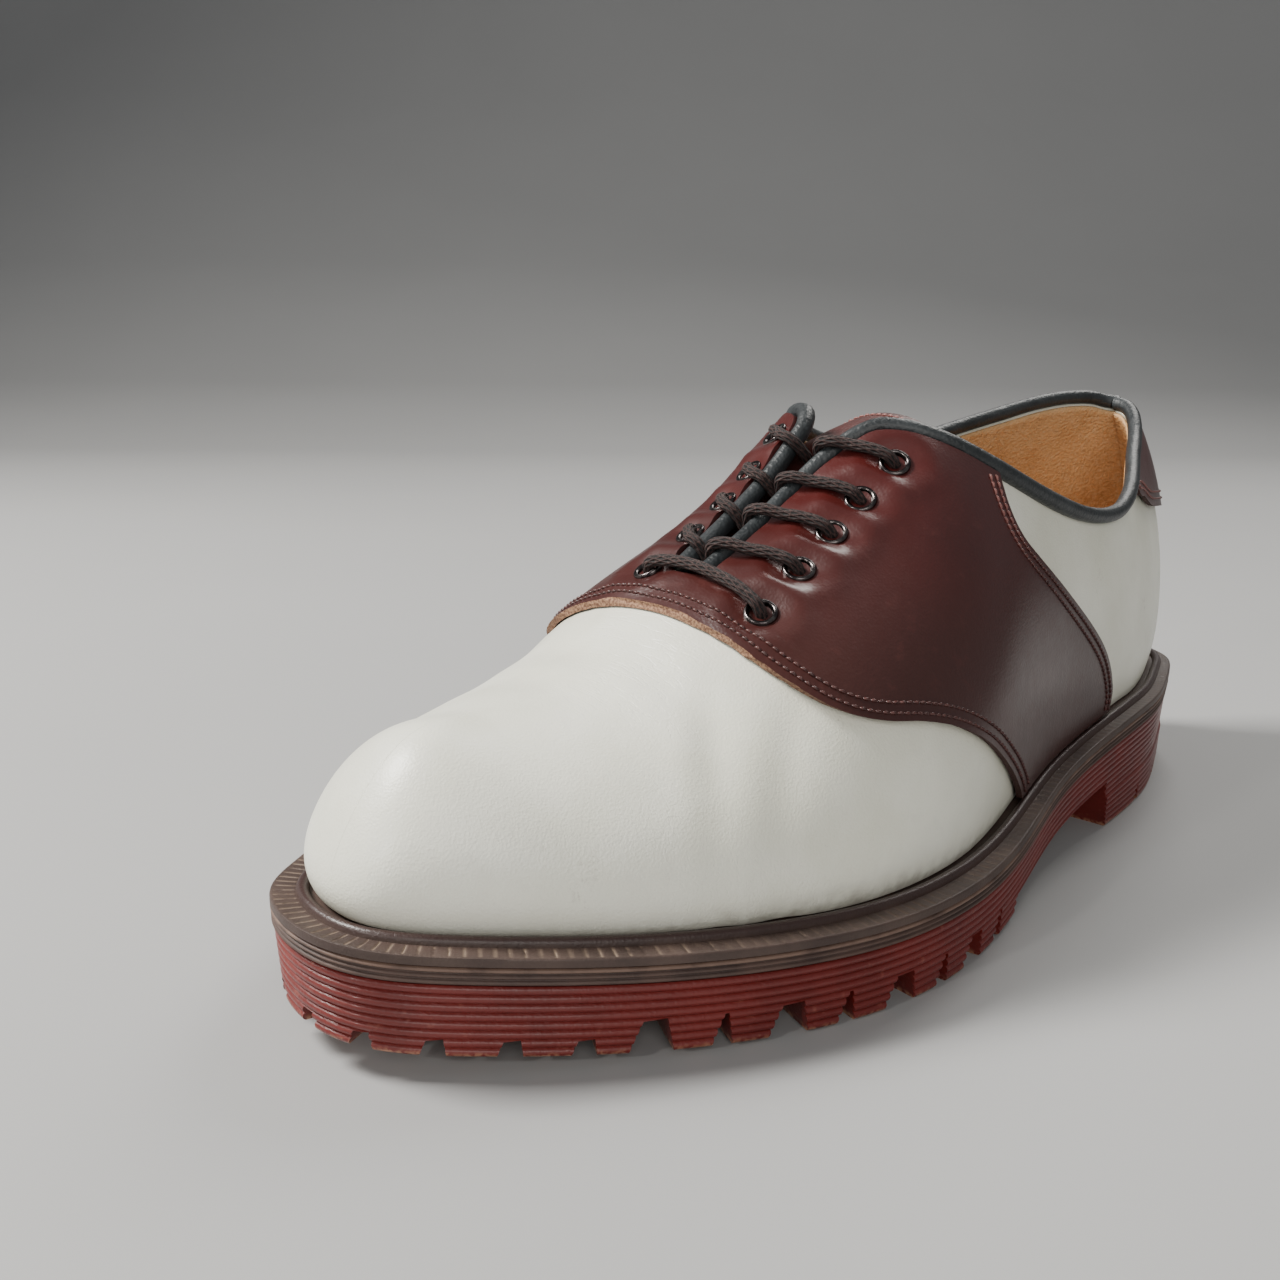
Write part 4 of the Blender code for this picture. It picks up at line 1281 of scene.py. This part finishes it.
thread, shader, place = new_finish("waxed_thread", 0.42)
# Painted highlight: the thread turns pale pink high on the shoe, where the light catches it, and keeps its
# own dark oxblood lower down.
high = place.axis(2).ease(0.072, 0.092)
thread_own_colour = place.grain(900, 2).shades((0.035, 0.009, 0.008), (0.085, 0.026, 0.022))
feed((high * 0.8).blend(thread_own_colour, (0.27, 0.105, 0.092)), shader, "Base Color")

saddle_tree = surface_of(saddle)
saddle_heart = np.array([0.0, 0.0, 0.06])


def both_sides(tree, table, shift):
    """A table's line drawn on both sides of the shoe, moved a little: the outer line, then the inner."""
    line = through(table, 40) + np.array(shift)
    return [traced(tree, line, side) for side in (1, -1)]


outer, inner = both_sides(saddle_tree, SADDLE_FRONT, (thread_inset, 0.0))
front_edge = np.vstack([outer, inner[::-1]])
rear_edges = both_sides(saddle_tree, SADDLE_REAR, (-thread_inset, 0.0))
rows = []
for distance in (0.0015, 0.0037):
    rows.append(set_in(saddle_tree, front_edge, distance, saddle_heart))
    for edge in rear_edges:
        rows.append(set_in(saddle_tree, edge, distance, np.array([edge[0, 0], -0.02, 0.05])))
stitches("saddle_stitches", saddle_tree, rows, thread, "oxblood_leather")

tab_tree = surface_of(tab)
round_back = 0.020
outer, inner = both_sides(tab_tree, TAB_EDGE[1:], (0.0, thread_inset))
turns = np.linspace(0, 1, 40)[1:-1, None]
behind = outer[0] + (inner[0] - outer[0]) * turns + np.sin(math.pi * turns) * np.array([0.0, round_back, 0.0])
back_edge = np.array([tab_tree.find_nearest(Vector(point))[0] for point in behind])
tab_edge = np.vstack([outer[::-1], back_edge, inner])
high = np.array([0.0, 0.13, 0.2])
rows = [set_in(tab_tree, tab_edge, distance, high) for distance in (0.0018, 0.0038)]
stitches("tab_stitches", tab_tree, rows, thread, "oxblood_leather")


# The piping is a slate-grey leather cord. It is rolled over the edge of the opening, from one facing
# round the collar to the other, and hides the cut edges of the upper and the lining.
piping_sides = 16
piping_step = 0.0011
piping_waves = 0.012
piping_swell = 0.05
piping_fullness = 1.02


def along_tube(name, path, sides, material, radius):
    """A round cord along a path of points. Its radius is a function of run and angle."""
    path = np.asarray(path, float)
    ways = unit(np.gradient(path, axis=0))
    run = run_along(path)
    normal = np.cross(ways[0], (0.0, 0.0, 1.0))
    angles = np.arange(sides) * 2 * math.pi / sides - math.pi / 2
    points = []
    for place, way, at in zip(path, ways, run):
        normal = unit(normal - way * (normal @ way))
        other = np.cross(way, normal)
        size = np.broadcast_to(radius(at, angles), len(angles))[:, None]
        points.append(place + size * (np.cos(angles)[:, None] * normal + np.sin(angles)[:, None] * other))
    faces = grid_faces(len(path), sides, round_columns=True)
    faces.append(tuple(range(sides))[::-1])
    faces.append(tuple(range(sides * (len(path) - 1), sides * len(path))))
    marks = {"along": np.repeat(run, sides), "around": np.tile(angles, len(path))}
    return piece_from(name, np.vstack(points), faces, [material], marks, weld=1e-7)


def resampled(path, step):
    """The same path on a smooth curve with points at an even step."""
    run = run_along(path)
    at = np.linspace(0, run[-1], max(int(run[-1] / step), 4))
    table = np.column_stack([run, path])
    return np.column_stack([smooth(table, k, at) for k in (1, 2, 3)])


slate_leather, shader, place = new_finish("slate_leather", 0.42, coat=0.1, coat_roughness=0.3)
cloud = place.grain(120, 4)
colour = cloud.shades((0.012, 0.015, 0.017), (0.026, 0.031, 0.034))
feed((place.grain(420, 3).ease(0.6, 0.8) * 0.4).blend(colour, (0.075, 0.085, 0.09)), shader, "Base Color")
feed(0.38 + cloud * 0.2, shader, "Roughness")
emboss(place.pores(1300) * 0.5 + place.grain(500, 3), shader, 0.0002)
lines = [edge_line(side, piping_lift) for side in (1, -1)]
path = on_shoe(np.vstack([lines[0][::-1], lines[1][1:]]))
path = resampled(path[::2], piping_step)
ripple = soft(path, piping_waves, 8)
run = run_along(path)


def rippled(at, angles):
    """The piping swells and narrows a little along its run."""
    return piping_radius * (piping_fullness + piping_swell * np.interp(at, run, ripple))


piping = along_tube("slate_piping", path, piping_sides, slate_leather, rippled)
dress(piping, "slate_piping", "collar_piping")


# The tongue is a single piece of oxblood leather, sewn in under the lacing. It curves over the instep
# and stands free above it, with a row of stitches at its top.
tongue_thickness = 0.0026
tongue_half_width = 0.023
tongue_front = 0.668
tongue_back = 0.540
tongue_rise = 0.0062
tongue_overhang = 0.0240
tongue_shift = 0.0045
tongue_bow = 0.4
tongue_drop = wall / 2 + piping_radius + 2 * gap
tongue_points = 21
tongue_rows = 41
overhang_rows = 13
hem_inset = 0.0008
rows = []
for part in np.linspace(0, 1, tongue_rows):
    turn = tongue_front + (tongue_back - tongue_front) * part
    halves = []
    for side in (1, -1):
        rib = lifted(side, turn, CLIMBS, -tongue_drop)
        reach = tongue_half_width + side * tongue_shift * part**2
        spread = np.linspace(0, reach, tongue_points)
        climbs = np.interp(-spread, -np.abs(rib[:, 0] - rib[-1, 0]), CLIMBS)
        halves.append(lifted(side, turn, climbs, -tongue_drop))
    rows.append(np.vstack([halves[0][::-1], halves[1][1:]]))
end = rows[-1]
for part in np.linspace(0, 1, overhang_rows)[1:]:
    rise = tongue_rise * (part + tongue_bow * (part - part**2))
    rows.append(end + np.array([0.0, tongue_overhang * part, rise]))
faces = grid_faces(len(rows), 2 * tongue_points - 1)
tongue_leather, shader, place = new_finish("tongue_leather", 0.5)
colour = place.grain(40, 4).shades((0.040, 0.0085, 0.0070), (0.062, 0.0080, 0.0070))
feed((place.grain(300, 3).ease(0.5, 0.8) * 0.3).blend(colour, (0.10, 0.024, 0.019)), shader, "Base Color")
emboss(place.pores(1300) * 0.5 + place.grain(600, 3), shader, 0.00014)
tongue = piece_from("oxblood_tongue", on_shoe(np.vstack(rows)), faces, [tongue_leather])
if sum(face.normal.z for face in tongue.data.polygons) < 0:
    tongue.data.flip_normals()
thicken(tongue, tongue_thickness)
crisp(tongue, 60)
dress(tongue, "oxblood_leather", "tongue")
hem = on_shoe(rows[-2][3:-3]) - np.array([0.0, hem_inset, 0.0])
stitches("tongue_stitches", surface_of(tongue), [hem], thread, "oxblood_leather")


# Five pairs of gunmetal ring eyelets are pressed through the saddle and the upper. Each is a rolled ring
# round its hole, where the lace comes up, and a near-black disc across the hole is painted shade.
gunmetal, shader, place = new_finish("gunmetal", 0.28, metallic=1.0)
tarnish = place.grain(600, 3)
feed(tarnish.shades((0.060, 0.050, 0.052), (0.16, 0.145, 0.14)), shader, "Base Color")
feed(0.16 + tarnish * 0.16, shader, "Roughness")
# Painted shade: a near-black disc closes each eyelet's hole and stands in for the shade inside it.
painted_hole_shade, shader, place = new_finish("painted_hole_shade_disc", 0.9)
feed(place.grain(300).blend((0.006, 0.004, 0.004), (0.012, 0.008, 0.008)), shader, "Base Color")
EYELET_RING = [
    # radius and height above the leather in metres, round the ring's section
    (0.00352, -0.00010),
    (0.00350, 0.00030),
    (0.00332, 0.00062),
    (0.00300, 0.00074),
    (0.00268, 0.00062),
    (0.00246, 0.00034),
    (0.00234, -0.00010),
    (0.00228, -0.00070),
]
eyelet_sides = 40
eyelet_sink = 0.00065
eyelet_seat = saddle_lift + saddle_thickness - eyelet_sink
WORDS = {1: "outer", -1: "inner"}
for (side, row), (spot, normal) in EYELET_SPOTS.items():
    word = WORDS[side]
    turned = Vector(normal).to_track_quat("Z", "Y").to_matrix()
    angles = np.arange(eyelet_sides) * 2 * math.pi / eyelet_sides
    points = []
    for radius, level in EYELET_RING:
        for angle in angles:
            flat = Vector((radius * math.cos(angle), radius * math.sin(angle), level + eyelet_seat))
            points.append(np.array(turned @ flat) + spot)
    faces = grid_faces(len(EYELET_RING), eyelet_sides, round_columns=True)
    last = eyelet_sides * (len(EYELET_RING) - 1)
    # The disc across the hole, which takes the painted shade.
    faces.append(tuple(range(last, last + eyelet_sides)))
    eyelet = piece_from(f"ring_eyelet_{word}_{row + 1}", points, faces, [gunmetal, painted_hole_shade])
    eyelet.data.polygons[len(faces) - 1].material_index = 1
    dress(eyelet, "gunmetal", f"eyelet_{word}_{row + 1}")


# The laces are round braided cotton, dark brown. The lowest run lies straight across; above it each
# strand comes up through its eyelet, crosses its own facing and goes down between the facings.
lace_radius = 0.00128
braid_pitch = 0.0040
braid_strands = 8
braid_core = 0.97
braid_height = 0.05
lace_slant = 0.45
lace_sides = 42
lace_step = 0.00030
least_away = 0.0002


def braided(at, angles):
    """Two families of strands wind round the lace in opposite directions."""
    turn = 2 * math.pi * at / braid_pitch
    one = np.cos(braid_strands * angles + turn)
    two = np.cos(braid_strands * angles - turn)
    return lace_radius * (braid_core + braid_height * np.maximum(one, two))


lace_cotton, shader, place = new_finish("lace_cotton", 0.8)
along = marked(place, "along") * (2 * math.pi / braid_pitch)
around = marked(place, "around") * braid_strands
one = along.maths("COSINE", around + along)
two = along.maths("COSINE", around - along)
weave = along.maths("MAXIMUM", one, two)
fleck = place.grain(1500, 2)
# Painted shade: the gaps between the strands are darkened almost to black, as the shade between them; the
# strands keep the lace's dark brown.
colour = weave.ease(0.3, 0.95).blend((0.004, 0.0025, 0.0025), (0.030, 0.0115, 0.0100))
feed((fleck.ease(0.54, 0.66) * 0.5).blend(colour, (0.085, 0.045, 0.038)), shader, "Base Color")
emboss(weave * 0.6 + place.grain(3000, 2) * 0.5, shader, 0.00022)


def facing_edge(side, turn):
    """How far the middle of the piping is from the middle of the instep."""
    edge = lifted(side, turn, opening_climb(side, turn), 0.0)
    crest = lifted(side, turn, top_climb, 0.0)
    return abs(edge[0] - crest[0])


laid = saddle_lift + saddle_thickness + lace_radius
turn = EYELETS[0][0]
bar = []
for side in (1, -1):
    hole = eyelet_away(side, 0)
    BAR_ROUTE = [
        # distance from the middle, height over the upper
        (hole + 0.0004, -0.0030),
        (hole + 0.0002, 0.0008),
        (hole - 0.0012, laid - 0.0003),
        (hole - 0.0036, laid + 0.0003),
        (hole * 0.45, laid + 0.0004),
    ]
    bar.append([over_instep(side, turn, away, lift) for away, lift in BAR_ROUTE])
path = resampled(np.vstack([bar[0], bar[1][::-1]]), lace_step)
lace = along_tube("braided_lace_1", path, lace_sides, lace_cotton, braided)
dress(lace, "lace_cotton", "lace_bar")
for row in range(1, len(EYELETS)):
    turn = EYELETS[row][0]
    forward = (EYELETS[row - 1][0] - turn) * lace_slant
    for side, word in WORDS.items():
        hole = eyelet_away(side, row)
        edge = facing_edge(side, turn + forward)
        ROUTE = [
            # share of the way forward, distance from the middle, height over the upper
            (-0.04, hole + 0.0004, -0.0032),
            (-0.02, hole + 0.0002, 0.0006),
            (0.10, hole - 0.0014, laid - 0.0004),
            (0.32, hole - 0.32 * (hole - edge), laid + 0.0002),
            (0.65, hole - 0.65 * (hole - edge), laid + 0.0002),
            (0.92, edge + 0.0010, laid + 0.0010),
            (1.05, edge - 0.0014, laid + 0.0004),
            (1.10, edge - 0.0034, -0.0002),
            (1.10, edge - 0.0040, -0.0034),
        ]
        points = []
        for part, away, lift in ROUTE:
            points.append(over_instep(side, turn + forward * part, max(away, least_away), lift))
        name = f"braided_lace_{row + 1}_{word}"
        lace = along_tube(name, resampled(points, lace_step), lace_sides, lace_cotton, braided)
        if side > 0:
            dress(lace, "lace_cotton", f"lace_crossing_{row + 1}")
        else:
            dress(lace, "lace_cotton")


# The studio has a plain pale floor with a curved back, soft lights, and a camera low beside the toe on
# the outer side, from where the photograph was taken.
sensor = 36
focal_share = 1310 / 1280
studio_grey = (0.60, 0.61, 0.62, 1)
studio_strength = 0.40
warm_white = (1.0, 0.975, 0.93)
camera_place = Vector((0.1898 - CENTRE, -0.2560, 0.1247))
yaw, pitch, roll = math.radians(45.85), math.radians(12.87), math.radians(0.40)
floor_paint, shader, place = new_finish("floor_paint", 0.6)
feed(place.grain(3, 3).blend((0.34, 0.34, 0.34), (0.37, 0.37, 0.37)), shader, "Base Color")
SWEEP = [
    # how far behind the shoe and how high in metres, from the flat floor up the curved back
    (-6.0, 0.0),
    (1.2, 0.0),
    (1.7, 0.06),
    (2.2, 0.26),
    (2.6, 0.62),
    (2.9, 1.2),
    (3.0, 2.0),
    (3.0, 4.5),
]
away = np.array([math.sin(yaw), -math.cos(yaw)])
across = np.array([away[1], -away[0]])
points = [(*(-away * far + across * side), up) for far, up in SWEEP for side in (-7, 7)]
floor = piece_from("floor", points, grid_faces(len(SWEEP), 2), [floor_paint])
floor.data.shade_smooth()

LIGHTS = [
    # name, place, aim, size and power
    ("key", (-0.75, -0.70, 1.10), (0.0, 0.0, 0.05), 0.45, 44.0),
    ("fill", (1.10, -0.90, 0.70), (0.0, 0.0, 0.05), 0.80, 8.0),
    ("back", (-0.25, 1.00, 1.15), (0.0, 0.0, 0.05), 0.70, 13.0),
    ("glint", (0.02, -1.00, 0.45), (0.0, -0.10, 0.03), 0.06, 2.0),
]
for name, spot, aim, size, power in LIGHTS:
    lamp = bpy.data.lights.new(name, "AREA")
    lamp.size = size
    lamp.energy = power
    lamp.color = warm_white
    light = bpy.data.objects.new(name, lamp)
    light.location = spot
    light.rotation_euler = (Vector(spot) - Vector(aim)).to_track_quat("Z", "Y").to_euler()
    scene.collection.objects.link(light)
scene.world = bpy.data.worlds.new("studio")
scene.world.use_nodes = True
backdrop = scene.world.node_tree.nodes["Background"]
backdrop.inputs["Color"].default_value = studio_grey
backdrop.inputs["Strength"].default_value = studio_strength

ahead = Vector((-math.sin(yaw) * math.cos(pitch), math.cos(yaw) * math.cos(pitch), -math.sin(pitch)))
level = Vector((math.cos(yaw), math.sin(yaw), 0))
upright = level.cross(ahead)
right = math.cos(roll) * level + math.sin(roll) * upright
above = -math.sin(roll) * level + math.cos(roll) * upright
lens = bpy.data.cameras.new("camera")
lens.sensor_width = sensor
lens.lens = sensor * focal_share
lens.clip_start = 0.01
camera = bpy.data.objects.new("camera", lens)
turned = Matrix((right, above, -ahead)).transposed().to_4x4()
camera.matrix_world = Matrix.Translation(camera_place) @ turned
scene.collection.objects.link(camera)
scene.camera = camera
